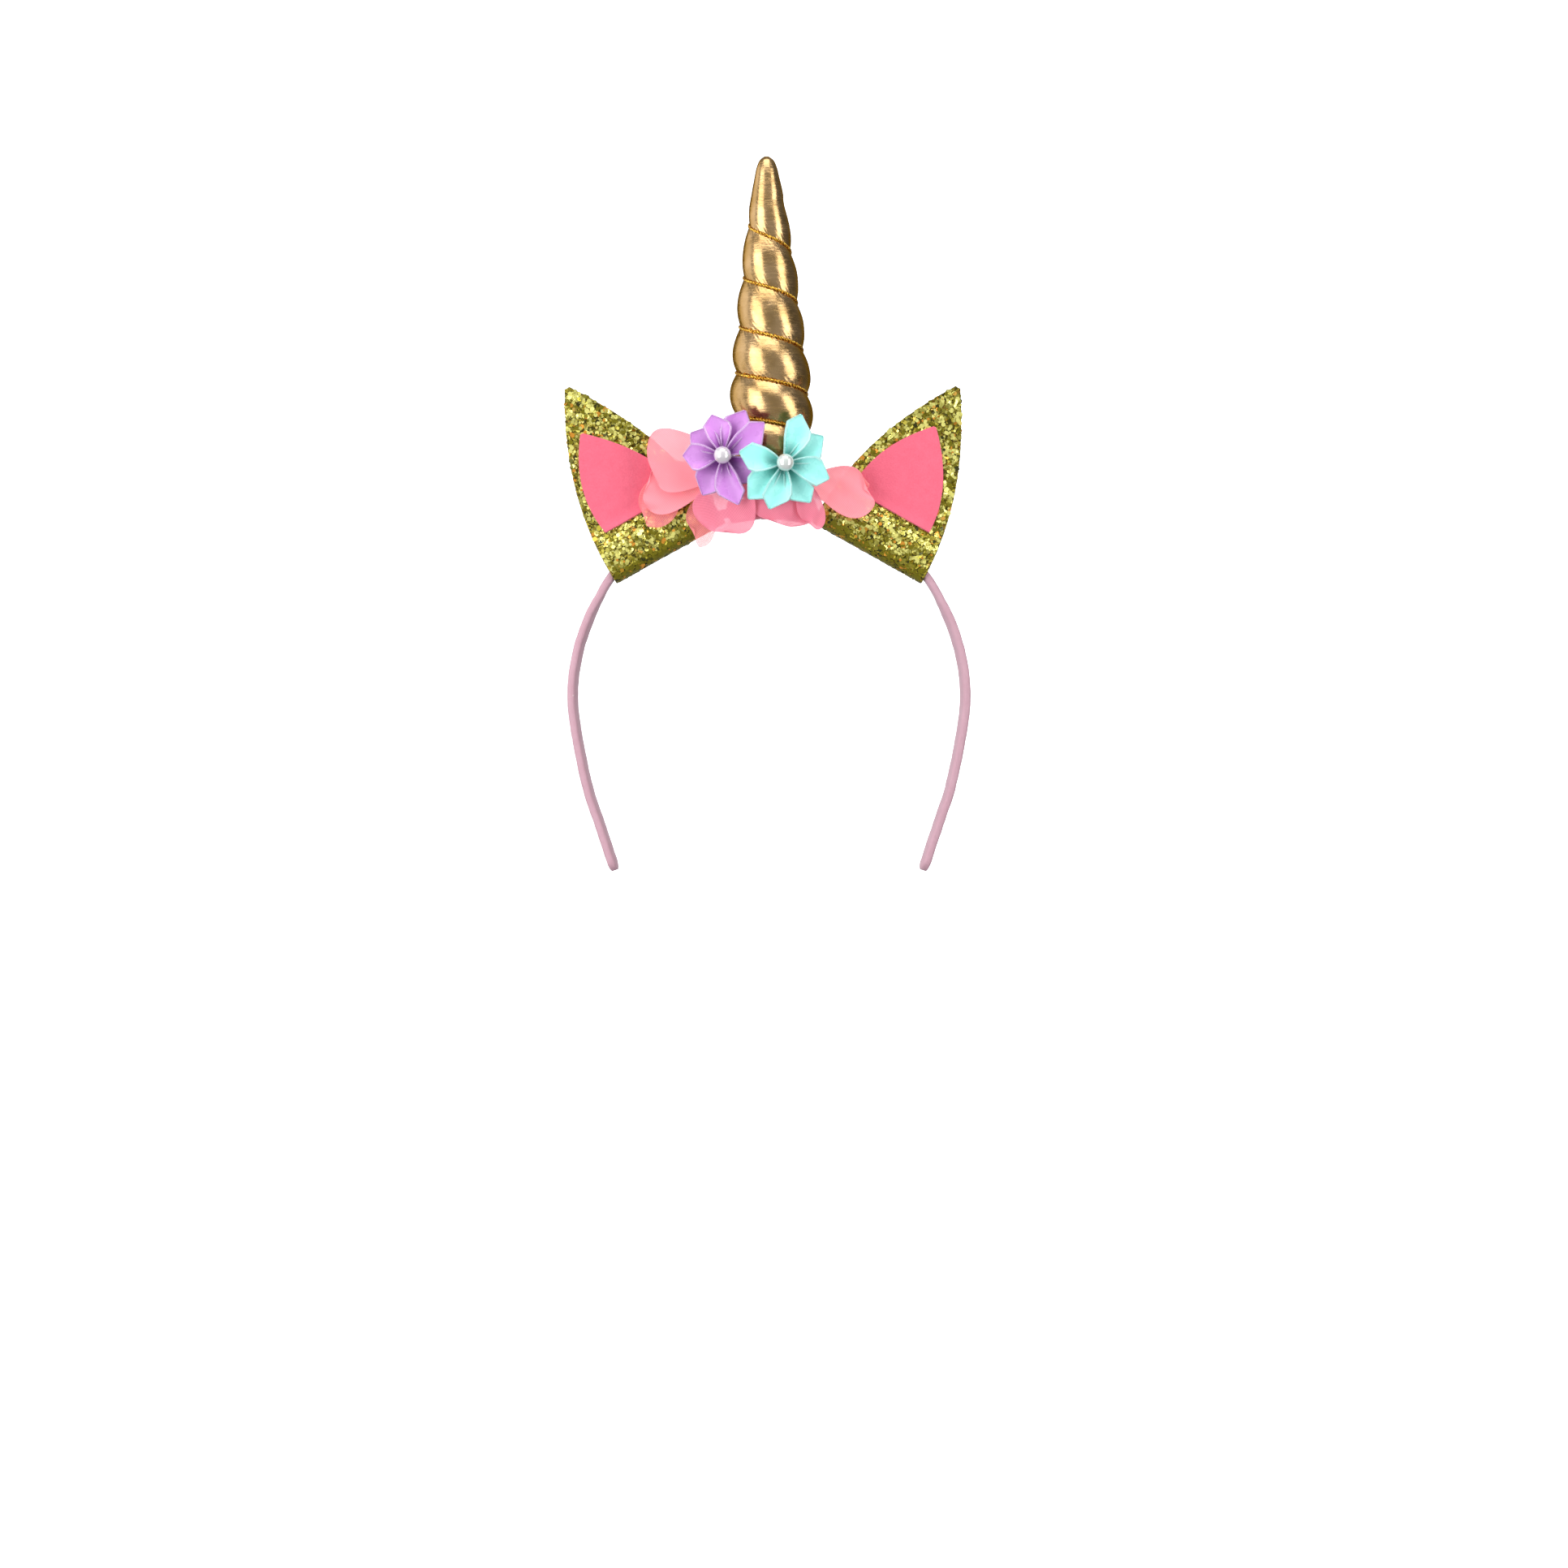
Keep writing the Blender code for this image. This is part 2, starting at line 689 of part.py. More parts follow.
def ribbon_fronts(frame, petals):
    samples = []
    for number, (angle, length_share) in enumerate(petals, start=1):
        for line in ribbon_grid(frame, number, angle, length_share, SAMPLE_ROWS, SAMPLE_ROWS):
            samples += [p + frame.front * RIBBON_WALL / 2 for p in line]
    return samples


def chiffon_fronts():
    samples = []
    for row in CHIFFON_TABLE:
        for line in chiffon_grid(row, 2 * SAMPLE_ROWS, 2 * SAMPLE_ROWS):
            samples += [p + Vector((0.0, -CHIFFON_WALL / 2, 0.0)) for p in line]
    return samples


def make_pearl(name, frame, material):
    rings = []
    radius = PEARL_DIAMETER / 2
    nest = math.sqrt(max(0.0, radius ** 2 - PETAL_ROOT ** 2))
    rise = nest + PETAL_STEP + GAP + RIBBON_WALL / 2
    levels = PEARL_SIDES // 2 + 2
    for level in range(1, levels):
        polar = math.pi * level / levels
        ring = []
        for k in range(PEARL_SIDES):
            angle = 2 * math.pi * k / PEARL_SIDES
            out = radius * math.sin(polar)
            ring.append(frame.place(out * math.cos(angle), out * math.sin(angle),
                                    rise - radius * math.cos(polar)))
        rings.append(ring)
    return make_object(name, material, *loft(rings), smooth_angle=1.4)


def make_flower(prefix, frame, petals, ribbon, pearl):
    for number, (angle, length_share) in enumerate(petals, start=1):
        grid = ribbon_grid(frame, number, angle, length_share, 0, PETAL_COLUMNS + 1)
        make_object(f"{prefix}_petal_{number}", ribbon, *thick_sheet(grid, RIBBON_WALL))
    make_pearl(f"{prefix}_pearl", frame, pearl)


def build():
    clear_scene()
    path = BandPath()
    satin = make_material("pink satin", (0.74, 0.40, 0.51), 0.45)
    felt = make_material("pink felt", (0.95, 0.15, 0.28), 0.95)
    lame = make_material("gold lame", (0.62, 0.42, 0.16), 0.28, 1.0)
    thread = make_material("gold cord", (0.70, 0.36, 0.05), 0.35, 0.9)
    glitter = make_material("gold glitter", (0.50, 0.42, 0.07), 0.40, 0.7)
    sheer = make_material("pink chiffon", (1.0, 0.35, 0.45), 0.6)
    lilac = make_material("lilac ribbon", (0.50, 0.24, 0.70), 0.35)
    mint = make_material("mint ribbon", (0.22, 0.75, 0.62), 0.35)
    pearl = make_material("pearl", (0.88, 0.86, 0.84), 0.15)

    make_band(path, satin)
    make_wrap(path, felt)
    make_horn(lame)
    make_cord(thread)
    for label, side, lean, felt_lean in EAR_TABLE:
        frame = EarFrame(path, side, lean)
        make_ear("ear_" + label, frame, glitter)
        make_ear_felt("ear_felt_" + label, frame, felt_lean, felt)
    for row in CHIFFON_TABLE:
        make_chiffon(row, sheer)
    backing = horn_front() + chiffon_fronts()
    lilac_frame = seat_flower(FlowerFrame(LILAC_PLACE), LILAC_PETALS, backing)
    backing += ribbon_fronts(lilac_frame, LILAC_PETALS)
    mint_frame = seat_flower(FlowerFrame(MINT_PLACE), MINT_PETALS, backing)
    make_flower("lilac", lilac_frame, LILAC_PETALS, lilac, pearl)
    make_flower("mint", mint_frame, MINT_PETALS, mint, pearl)


build()
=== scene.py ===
# %% [markdown]
# # Looks of a unicorn horn headband
#
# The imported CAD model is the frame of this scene.
# Every soft part is made again as real cloth: thin, curved, creased and woven, in the place its solid holds.
# Lengths are in metres, +Z is up, and the wearer looks along -Y.

# %% Load the frame
import json
import math

import bpy
import numpy as np
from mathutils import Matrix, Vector

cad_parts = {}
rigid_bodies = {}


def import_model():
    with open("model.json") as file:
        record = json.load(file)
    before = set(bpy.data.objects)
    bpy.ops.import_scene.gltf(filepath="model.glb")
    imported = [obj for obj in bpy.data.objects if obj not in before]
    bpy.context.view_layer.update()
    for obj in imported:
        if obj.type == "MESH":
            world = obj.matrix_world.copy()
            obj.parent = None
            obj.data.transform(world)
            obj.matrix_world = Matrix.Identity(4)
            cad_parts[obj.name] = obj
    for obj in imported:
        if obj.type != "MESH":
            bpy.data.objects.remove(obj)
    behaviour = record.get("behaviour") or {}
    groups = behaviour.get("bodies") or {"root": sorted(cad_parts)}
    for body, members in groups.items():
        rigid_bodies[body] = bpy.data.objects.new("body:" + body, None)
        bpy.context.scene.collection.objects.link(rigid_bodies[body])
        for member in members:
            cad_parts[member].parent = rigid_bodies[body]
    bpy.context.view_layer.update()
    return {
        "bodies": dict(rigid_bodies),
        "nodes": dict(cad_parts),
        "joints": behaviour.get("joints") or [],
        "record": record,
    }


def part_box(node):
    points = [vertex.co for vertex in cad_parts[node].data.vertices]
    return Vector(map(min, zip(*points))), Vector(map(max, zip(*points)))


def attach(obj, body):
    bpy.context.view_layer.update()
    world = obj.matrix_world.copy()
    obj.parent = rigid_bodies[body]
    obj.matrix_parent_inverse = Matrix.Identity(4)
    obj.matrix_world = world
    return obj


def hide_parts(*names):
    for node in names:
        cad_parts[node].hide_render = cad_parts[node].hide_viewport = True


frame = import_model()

MM = 0.001
ACROSS = np.array([0.0, 1.0, 0.0])
scene = bpy.context.scene
print("CAD nodes:", len(frame["nodes"]))

# %% [markdown]
# ## Shader maths as plain sums
#
# A `Wire` is the output of one shader node.
# Adding, multiplying or mixing wires adds the nodes that work it out, so a material reads like a formula.

# %% Shader helpers


class Wire:
    """One output of a shader node, which sums and multiplies like a number."""

    def __init__(self, look, socket):
        self.look = look
        self.socket = socket

    def join(self, operation, left, right):
        parts = (left, right)
        flat = all(part.socket.type == "VALUE" if isinstance(part, Wire) else not isinstance(part, tuple)
                   for part in parts)
        kind = "ShaderNodeMath" if flat else "ShaderNodeVectorMath"
        return self.look.node(kind, {"operation": operation}, left, right)

    def __add__(self, other):
        return self.join("ADD", self, other)

    def __radd__(self, other):
        return self.join("ADD", other, self)

    def __sub__(self, other):
        return self.join("SUBTRACT", self, other)

    def __mul__(self, other):
        return self.join("MULTIPLY", self, other)

    def maths(self, operation, *others):
        return self.look.node("ShaderNodeMath", {"operation": operation}, self, *others)

    def wave(self, period):
        """A sine of the wire, from 0 to 1, that repeats every period."""
        return (self * (2 * math.pi / period)).maths("SINE") * 0.5 + 0.5

    def between(self, low, high, start=0.0, end=1.0):
        """Eases from start to end as the wire goes from low to high."""
        return self.look.node("ShaderNodeMapRange", {"interpolation_type": "SMOOTHSTEP"},
                              self, low, high, start, end)

    def parts(self):
        """The three components of a vector wire."""
        split = self.look.node("ShaderNodeSeparateXYZ", {}, self)
        return [Wire(self.look, socket) for socket in split.socket.node.outputs]
print("Sums of wires: + - * maths wave between parts")

# %% [markdown]
# ## One material, one shader
#
# A `Look` is one material on a single Principled shader, which is all that cloth, foil and pearl need.
# Constant finishes are set on the shader's own sockets, and only what varies over the cloth is wired.
# Every pattern comes from noise, waves or cells in real sizes, so no picture file is needed.

# %% Materials

class Look:
    """One procedural material on a single Principled shader."""

    def __init__(self, name, **constants):
        self.material = bpy.data.materials.new(name)
        self.material.use_nodes = True
        self.tree = self.material.node_tree
        self.shader = self.tree.nodes["Principled BSDF"]
        self.shade(**constants)

    def feed(self, socket, value):
        if isinstance(value, Wire):
            self.tree.links.new(value.socket, socket)
        elif socket.type == "RGBA":
            socket.default_value = (*value, 1.0)
        elif socket.type == "VECTOR" and not isinstance(value, tuple):
            socket.default_value = (value, value, value)
        else:
            socket.default_value = value

    def node(self, kind, settings, *values, out=None, **named):
        """Adds any node: its settings, then the values or wires of its sockets."""
        made = self.tree.nodes.new(kind)
        for key, value in settings.items():
            setattr(made, key, value)
        live = [socket for socket in made.inputs if socket.enabled]
        for socket, value in zip(live, values):
            self.feed(socket, value)
        for key, value in named.items():
            self.feed(made.inputs[key], value)
        shown = [socket for socket in made.outputs if socket.enabled]
        return Wire(self, made.outputs[out] if out else shown[0])

    def shade(self, **inputs):
        """Sets or links sockets of the shader, such as Base_Color."""
        for key, value in inputs.items():
            self.feed(self.shader.inputs[key.replace("_", " ")], value)

    def place(self):
        return self.node("ShaderNodeTexCoord", {}, out="Object")

    def flat(self):
        """Millimetres along and across the piece, from its UV map."""
        return self.node("ShaderNodeTexCoord", {}, out="UV").parts()[:2]

    def noise(self, vector, scale, detail=3.0):
        return self.node("ShaderNodeTexNoise", {}, Vector=vector, Scale=scale, Detail=detail)

    def cells(self, vector, scale):
        """Round cells, each with a colour of its own."""
        return self.node("ShaderNodeTexVoronoi", {}, Vector=vector, Scale=scale, out="Color")

    def mix(self, share, first, second):
        """A colour between two colours."""
        return self.node("ShaderNodeMix", {"data_type": "RGBA"}, share, first, second)

    def bump(self, height, distance):
        relief = self.node("ShaderNodeBump", {}, Height=height, Distance=distance, Strength=1.0)
        self.shade(Normal=relief)
print("Patterns:", [name for name in ("noise", "cells", "mix", "bump") if hasattr(Look, name)])

# %% [markdown]
# ## Mesh helpers
#
# The outlines in the tables below have few rows, as a maker would mark them on card.
# A straight join would show facets, so a smooth curve is drawn through the rows.

# %% Curves


def curve_through(table, count):
    """Points on a smooth curve through the rows of a table."""
    rows = np.array(table, dtype=float)
    padded = np.vstack([2 * rows[0] - rows[1], rows, 2 * rows[-1] - rows[-2]])
    share = np.linspace(0, len(rows) - 1, count)
    i = np.minimum(share.astype(int), len(rows) - 2)
    t = (share - i)[:, None]
    p0, p1, p2, p3 = (padded[i + k] for k in range(4))
    return 0.5 * (2 * p1 + (p2 - p0) * t + (2 * p0 - 5 * p1 + 4 * p2 - p3) * t ** 2
                  + (3 * p1 - p0 - 3 * p2 + p3) * t ** 3)


def unit(vectors):
    return vectors / np.linalg.norm(vectors, axis=-1, keepdims=True)
print("Arch of three rows, middle:", curve_through([(0, 0), (1, 1), (2, 0)], 5)[2])

# %% [markdown]
# ## Skins
#
# A skin is a grid of points joined with quads, as when cloth is laid over a form.
# Primitives would have to be bent into cloth afterwards, with less control of where the rows run.
# Its UV map holds millimetres along and across, so that a weave keeps its real size.

# %% Skins

def blank(name, verts, faces, uvs, look, smooth=True):
    """A mesh object from arrays. uvs has one row for each corner of each face."""
    mesh = bpy.data.meshes.new(name)
    mesh.from_pydata(verts, [], faces)
    layer = mesh.uv_layers.new(name="cloth_mm")
    layer.data.foreach_set("uv", np.asarray(uvs, dtype=np.float32).ravel())
    if smooth:
        mesh.shade_smooth()
    mesh.materials.append(look.material)
    piece = bpy.data.objects.new(name, mesh)
    scene.collection.objects.link(piece)
    return piece


def skin(name, points, look, closed=False, caps=False, ribbon=None):
    """Skins a grid of points, rows by columns. A closed grid joins its last column to its first.

    A ribbon keeps its flat width in the UV map, also where it is gathered."""
    rows, columns = points.shape[:2]
    index = np.arange(rows * columns).reshape(rows, columns)
    if closed:
        index = np.hstack([index, index[:, :1]])
    spread = points.reshape(-1, 3)[index]
    along = np.cumsum(np.linalg.norm(np.diff(spread, axis=0, prepend=spread[:1]), axis=2), axis=0)
    across = np.cumsum(np.linalg.norm(np.diff(spread, axis=1, prepend=spread[:, :1]), axis=2), axis=1)
    across -= across[:, -1:] / 2
    if ribbon:
        across = np.broadcast_to(np.linspace(-ribbon / 2, ribbon / 2, columns), across.shape)
    flat = np.stack([along, across], axis=-1) / MM
    corners = [(slice(0, -1), slice(0, -1)), (slice(0, -1), slice(1, None)),
               (slice(1, None), slice(1, None)), (slice(1, None), slice(0, -1))]
    faces = np.stack([index[c] for c in corners], axis=-1).reshape(-1, 4)
    uvs = np.stack([flat[c] for c in corners], axis=2).reshape(-1, 2)
    faces = faces.tolist()
    if caps:
        faces += [index[0, -2::-1].tolist(), index[-1, :-1].tolist()]
        uvs = np.vstack([uvs, flat[0, -2::-1], flat[-1, :-1]])
    return blank(name, points.reshape(-1, 3).tolist(), faces, uvs, look)
print("Length unit of the UV maps:", MM, "m")

# %% [markdown]
# ## Cloth thickness, tubes and slots
#
# Cloth shows its cut edge, so the open sheets of cloth get a Solidify modifier, even to both sides.
# A tube of points round a line makes thread. A curve with a bevel could, but its twist is harder to hold.
# Every finished piece is then tied to the body it rides on, and the solids it stands for are hidden.

# %% Cloth and tubes

def thicken(piece, wall):
    """Gives a skin its cloth thickness, evenly to both sides."""
    solid = piece.modifiers.new("thickness", "SOLIDIFY")
    solid.thickness = wall
    solid.offset = 0.0
    return piece


def tube(centres, radius, sides):
    """Rings of points round a line of centres."""
    ahead = unit(np.gradient(centres, axis=0))
    side = unit(np.cross(ahead, np.array([0.0, 0.0, 1.0])))
    up = np.cross(side, ahead)
    angle = np.linspace(0, 2 * math.pi, sides, endpoint=False)
    spoke = side[:, None] * np.cos(angle)[:, None] + up[:, None] * np.sin(angle)[:, None]
    return centres[:, None] + spoke * radius


def settle(piece, slot, *nodes):
    """The piece rides on the one body and hides the CAD nodes it stands for. The slot is not used."""
    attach(piece, "root")
    if nodes:
        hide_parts(*nodes)
    return piece
print("Thread ring of 8 points:", tube(np.array([[0, 0, 0], [0.0, MM, 0]]), MM, 8).shape)

# %% [markdown]
# ## Small irregularities
#
# Handmade cloth is never even, but pure chance at each point would look like gravel.
# A sum of a few sine waves with seeded phases is smooth, cheap and the same in every run.

# %% Ripples

def ripples(seed, count, low, high):
    """Frequencies and phases of a sum of waves, as a smooth noise of two angles."""
    dice = np.random.default_rng(seed)
    return dice.uniform(low, high, (count, 2)), dice.uniform(0, 2 * math.pi, count)


def ripple_sum(waves, first, second):
    pace, phase = waves
    total = sum(np.sin(p[0] * first + p[1] * second + f) for p, f in zip(pace, phase))
    return total / math.sqrt(len(phase))
print("One ripple:", round(float(ripple_sum(ripples(1, 4, 1, 2), 0.5, 0.5)), 3))

# %% [markdown]
# ## Sizes shared with the CAD
#
# These are the lengths and outlines that the solids were made from.
# Reading them off the solids' meshes would work too, but would tie each cloth to a mesh's order of points.
# Repeating the named sizes keeps every curve smooth at any number of points.

# %% Sizes

GAP = 0.3 * MM
BAND_REACH = 78.0 * MM
BAND_DROP = 145.0 * MM
BAND_THICKNESS = 3.5 * MM
BAND_WIDTH = 9.0 * MM
WRAP_THICKNESS = 2.5 * MM
WRAP_LENGTH = 33.0 * MM
HORN_HEIGHT = 138.0 * MM
HORN_RADIUS = 16.7 * MM
HORN_OFFSET = 1.6 * MM
HORN_LEAN = 2.6 * MM
GROOVE_DEPTH = 2.1 * MM
EAR_SEAT = 44.6 * MM
EAR_HEIGHT = 77.4 * MM
EAR_HALF_WIDTH = 25.3 * MM
EAR_SHEET = 1.0 * MM
EAR_FOLD_RADIUS = 2.6 * MM
EAR_CLOSING = 13.0 * MM
FELT_RISE = 19.0 * MM
FELT_HEIGHT = 38.0 * MM
FELT_HALF_WIDTH = 17.5 * MM
CHIFFON_LENGTH = 36.0 * MM
CHIFFON_WIDTH = 26.0 * MM
RIBBON_WIDTH = 10.8 * MM
PETAL_LENGTH = 18.5 * MM
PETAL_ROOT = 2.6 * MM
PETAL_STEP = 1.9 * MM
PEARL_DIAMETER = 7.0 * MM
HORN_FOOT = 3 * GAP + 2 * WRAP_THICKNESS + BAND_THICKNESS
print("Horn foot at", round(HORN_FOOT / MM, 1), "mm")

# %% [markdown]
# ## Outlines as tables
#
# The strip's arch, the horn's puffed outline and the cord's turns were measured as shares of a size.
# So a longer horn or a wider band keeps its character when its one size changes.

# %% Outlines

# Inner line of the strip: reach share, drop share
BAND_LINE = (
    (0.000, 0.000), (0.272, 0.023), (0.544, 0.080), (0.715, 0.139), (0.807, 0.191),
    (0.891, 0.272), (0.953, 0.355), (0.988, 0.434), (1.000, 0.499), (0.995, 0.566),
    (0.963, 0.671), (0.918, 0.779), (0.868, 0.859), (0.781, 1.000),
)

# Puffed outline of the horn: height share, radius share
HORN_LINE = (
    (0.000, 0.970), (0.100, 1.000), (0.200, 1.000), (0.320, 0.985), (0.453, 0.870),
    (0.585, 0.745), (0.737, 0.590), (0.836, 0.455), (0.893, 0.382), (0.931, 0.318),
    (0.965, 0.255), (0.988, 0.175), (1.000, 0.060),
)

# Cord round the horn, in shares of the horn's height and in turns
CORD_START = 0.797
CORD_PITCH = 0.159
CORD_TIGHTENING = 0.0048
CORD_FIRST_TURN = -0.3
CORD_LAST_TURN = 5.8
print("Cord turns:", CORD_LAST_TURN - CORD_FIRST_TURN)

# %% [markdown]
# ## Camera, room and light
#
# The object was seen level, from about 1.5 m in front and 11 cm below its crown.
# A long lens from further off would flatten it more, and a near one would spread the ears.
# The distance was chosen so that both arms of the strip show as much of their inner faces as they should.

# %% Camera

CAMERA_PLACE = (6.1 * MM, -1.5, -107.7 * MM)
VIEW_HALF_WIDTH = 318.8 * MM

camera = bpy.data.objects.new("camera", bpy.data.cameras.new("camera"))
camera.location = CAMERA_PLACE
camera.rotation_euler = (math.pi / 2, 0, 0)
camera.data.angle = 2 * math.atan(VIEW_HALF_WIDTH / -CAMERA_PLACE[1])
scene.collection.objects.link(camera)
scene.camera = camera
print("Camera at", CAMERA_PLACE)

# %% [markdown]
# ## Room and soft boxes
#
# A foil cloth shows its surroundings, so the lamps matter more here than the gold colour.
# A bright world alone would light it evenly and make it look like matt paint.
# Instead two tall soft boxes give the horn its bright bands, and a weak one far round the left side fills in.
# The dim room between them gives its dark middle band, and a lamp above lifts the felt and ribbon.
# The room grows darker to the right, which leaves a bronze edge along that side of the foil.
# Standard view transform keeps the pinks as clean as a catalogue picture.

# %% Light

ROOM_LIGHT = 0.45
ROOM_DARK_SIDE = 0.14
ROOM_DARKENS_FROM = 0.35
ROOM_DARKENS_TO = 0.95

world = bpy.data.worlds.new("room")
world.use_nodes = True
nodes, links = world.node_tree.nodes, world.node_tree.links
nodes["Background"].inputs["Color"].default_value = (0.92, 0.95, 1.0, 1.0)
direction = nodes.new("ShaderNodeTexCoord")
split = nodes.new("ShaderNodeSeparateXYZ")
fall = nodes.new("ShaderNodeMapRange")
fall.interpolation_type = "SMOOTHSTEP"
fade_values = (ROOM_DARKENS_FROM, ROOM_DARKENS_TO, ROOM_LIGHT, ROOM_DARK_SIDE)
for socket, value in zip(fall.inputs[1:5], fade_values):
    socket.default_value = value
links.new(direction.outputs["Generated"], split.inputs[0])
links.new(split.outputs["X"], fall.inputs["Value"])
links.new(fall.outputs["Result"], nodes["Background"].inputs["Strength"])
scene.world = world
scene.view_settings.view_transform = "Standard"

# name, azimuth from the camera's side in degrees, height, distance, width, tall, watts
SOFT_BOXES = (
    ("left_box", -47, 0.10, 1.25, 0.90, 1.7, 16.0),
    ("left_wall", -108, 0.10, 1.25, 1.10, 1.7, 5.0),
    ("right_box", 55, 0.10, 1.25, 0.62, 1.7, 11.5),
    ("top_box", 0, 1.30, 0.55, 1.3, 0.9, 11.0),
)
for name, azimuth, height, distance, width, tall, watts in SOFT_BOXES:
    lamp = bpy.data.lights.new(name, "AREA")
    lamp.shape = "RECTANGLE"
    lamp.size = width
    lamp.size_y = tall
    lamp.energy = watts
    box = bpy.data.objects.new(name, lamp)
    turn = math.radians(azimuth)
    box.location = (distance * math.sin(turn), -distance * math.cos(turn), height)
    box.rotation_euler = (Vector((0, 0, 0.03)) - box.location).to_track_quat("-Z", "Y").to_euler()
    scene.collection.objects.link(box)
print("Soft boxes:", [row[0] for row in SOFT_BOXES])

# %% [markdown]
# ## White paper floor
#
# The floor is a round sheet of white paper that turns up at its rim.
# A flat floor would leave a horizon, and a closed room would hide the object from most sides.
# So each face of the paper is clear from outside and white from inside.
# Foil would mirror that much white as a pale outline, so the paper is kept out of the reflections.

# %% Floor

stage_look = Look("white_paper", Base_Color=(0.90, 0.90, 0.90), Roughness=0.9,
                  Emission_Color=(1.0, 1.0, 1.0), Emission_Strength=0.60)
inside = stage_look.node("ShaderNodeNewGeometry", {}, out="Backfacing")
clear = stage_look.node("ShaderNodeBsdfTransparent", {})
seen = Wire(stage_look, stage_look.shader.outputs["BSDF"])
one_sided = stage_look.node("ShaderNodeMixShader", {}, inside, clear, seen)
stage_look.feed(stage_look.tree.nodes["Material Output"].inputs["Surface"], one_sided)

FLOOR_HEIGHT = -0.50
FLOOR_RADIUS = 0.60
CORNER_RADIUS = 0.30
WALL_HEIGHT = 0.75

profile = [(0.01, FLOOR_HEIGHT), (FLOOR_RADIUS, FLOOR_HEIGHT)]
profile += [(FLOOR_RADIUS + CORNER_RADIUS * math.sin(a), FLOOR_HEIGHT + CORNER_RADIUS * (1 - math.cos(a)))
            for a in np.linspace(0.1, math.pi / 2, 12)]
profile += [(FLOOR_RADIUS + CORNER_RADIUS, WALL_HEIGHT)]
round_angles = np.linspace(0, 2 * math.pi, 96, endpoint=False)
paper = np.array([[(r * math.cos(a), r * math.sin(a), z) for a in round_angles] for r, z in profile])
backdrop = skin("paper_floor", paper, stage_look, closed=True)
for sight in ("visible_glossy", "visible_diffuse", "visible_shadow", "visible_transmission"):
    setattr(backdrop, sight, False)
print("Floor rim radius:", FLOOR_RADIUS + CORNER_RADIUS, "m")

# %% [markdown]
# ## Gold lame horn
#
# The horn is a sewn cone of thin foil cloth, stuffed with loose wadding.
# The cord pulls it in along a spiral, so the cloth puffs out between the turns.
# A pressure simulation could blow it up inside a tight cord, but the groove is narrower than its cells.
# So its radius is worked out instead: the cone's outline, less a pinch near the cord.
# Short gathers run away from the cord and shallow dents lie between the turns.
# The groove is 0.7 mm deeper than in the solid and the puffs 0.25 mm fuller, as the real outline is.

# %% Horn

HORN_SIDES = 260
HORN_ROWS = 340
GATHER_DEPTH = 0.16 * MM
DENT_DEPTH = 0.13 * MM
GATHER_REACH = 0.09  # of a turn
PUFF = 0.25 * MM
EXTRA_PINCH = 0.7 * MM
PINCH_SHARPNESS = 2.1

horn_outline = curve_through(HORN_LINE, 600)


def horn_radius(share):
    return HORN_RADIUS * np.interp(share, horn_outline[:, 0], horn_outline[:, 1])


def cord_share(turn):
    return CORD_START - CORD_PITCH * turn + CORD_TIGHTENING * turn ** 2


def turn_at(share):
    root = CORD_PITCH ** 2 - 4 * CORD_TIGHTENING * (CORD_START - share)
    return (CORD_PITCH - np.sqrt(np.maximum(root, 0.0))) / (2 * CORD_TIGHTENING)


def horn_centre(share):
    return np.stack([HORN_OFFSET - HORN_LEAN * share, 0 * share, HORN_FOOT + HORN_HEIGHT * share], axis=-1)


def horn_surface(share, angle):
    """Radius of the stuffed cloth at a height share and an angle."""
    turn = turn_at(share)
    phase = turn - (angle - math.pi) / (2 * math.pi)
    away = np.abs(phase - np.round(phase))
    fade = np.clip((turn - CORD_FIRST_TURN) / 0.25 + 1.0, 0.0, 1.0)
    slim = horn_radius(share) / HORN_RADIUS
    pinch = (1 - 2 * away) ** PINCH_SHARPNESS * fade
    gather = ripple_sum(ripples(3, 9, 26, 60), angle, 9 * share) * np.exp(-away / GATHER_REACH) * fade
    dent = ripple_sum(ripples(5, 7, 1.5, 5.0), angle, 11 * share)
    radius = horn_radius(share) + PUFF * fade - (GROOVE_DEPTH + EXTRA_PINCH) * slim * pinch
    return radius + slim * (GATHER_DEPTH * gather + DENT_DEPTH * dent * (1 - pinch))
print("Horn radius at mid height:", round(float(horn_radius(0.5)) / MM, 2), "mm")

# %% [markdown]
# ## Horn points
#
# The rows crowd a little toward the tip, where the outline closes fastest.

# %% Horn points

shares = 1 - (1 - np.linspace(0.0, 1.0, HORN_ROWS)) ** 1.15
share, angle = np.meshgrid(shares, np.linspace(0, 2 * math.pi, HORN_SIDES, endpoint=False), indexing="ij")
spoke = np.stack([np.cos(angle), np.sin(angle), 0 * angle], axis=-1)
horn_points = horn_centre(share) + spoke * horn_surface(share, angle)[..., None]
print("Horn points:", HORN_ROWS * HORN_SIDES)
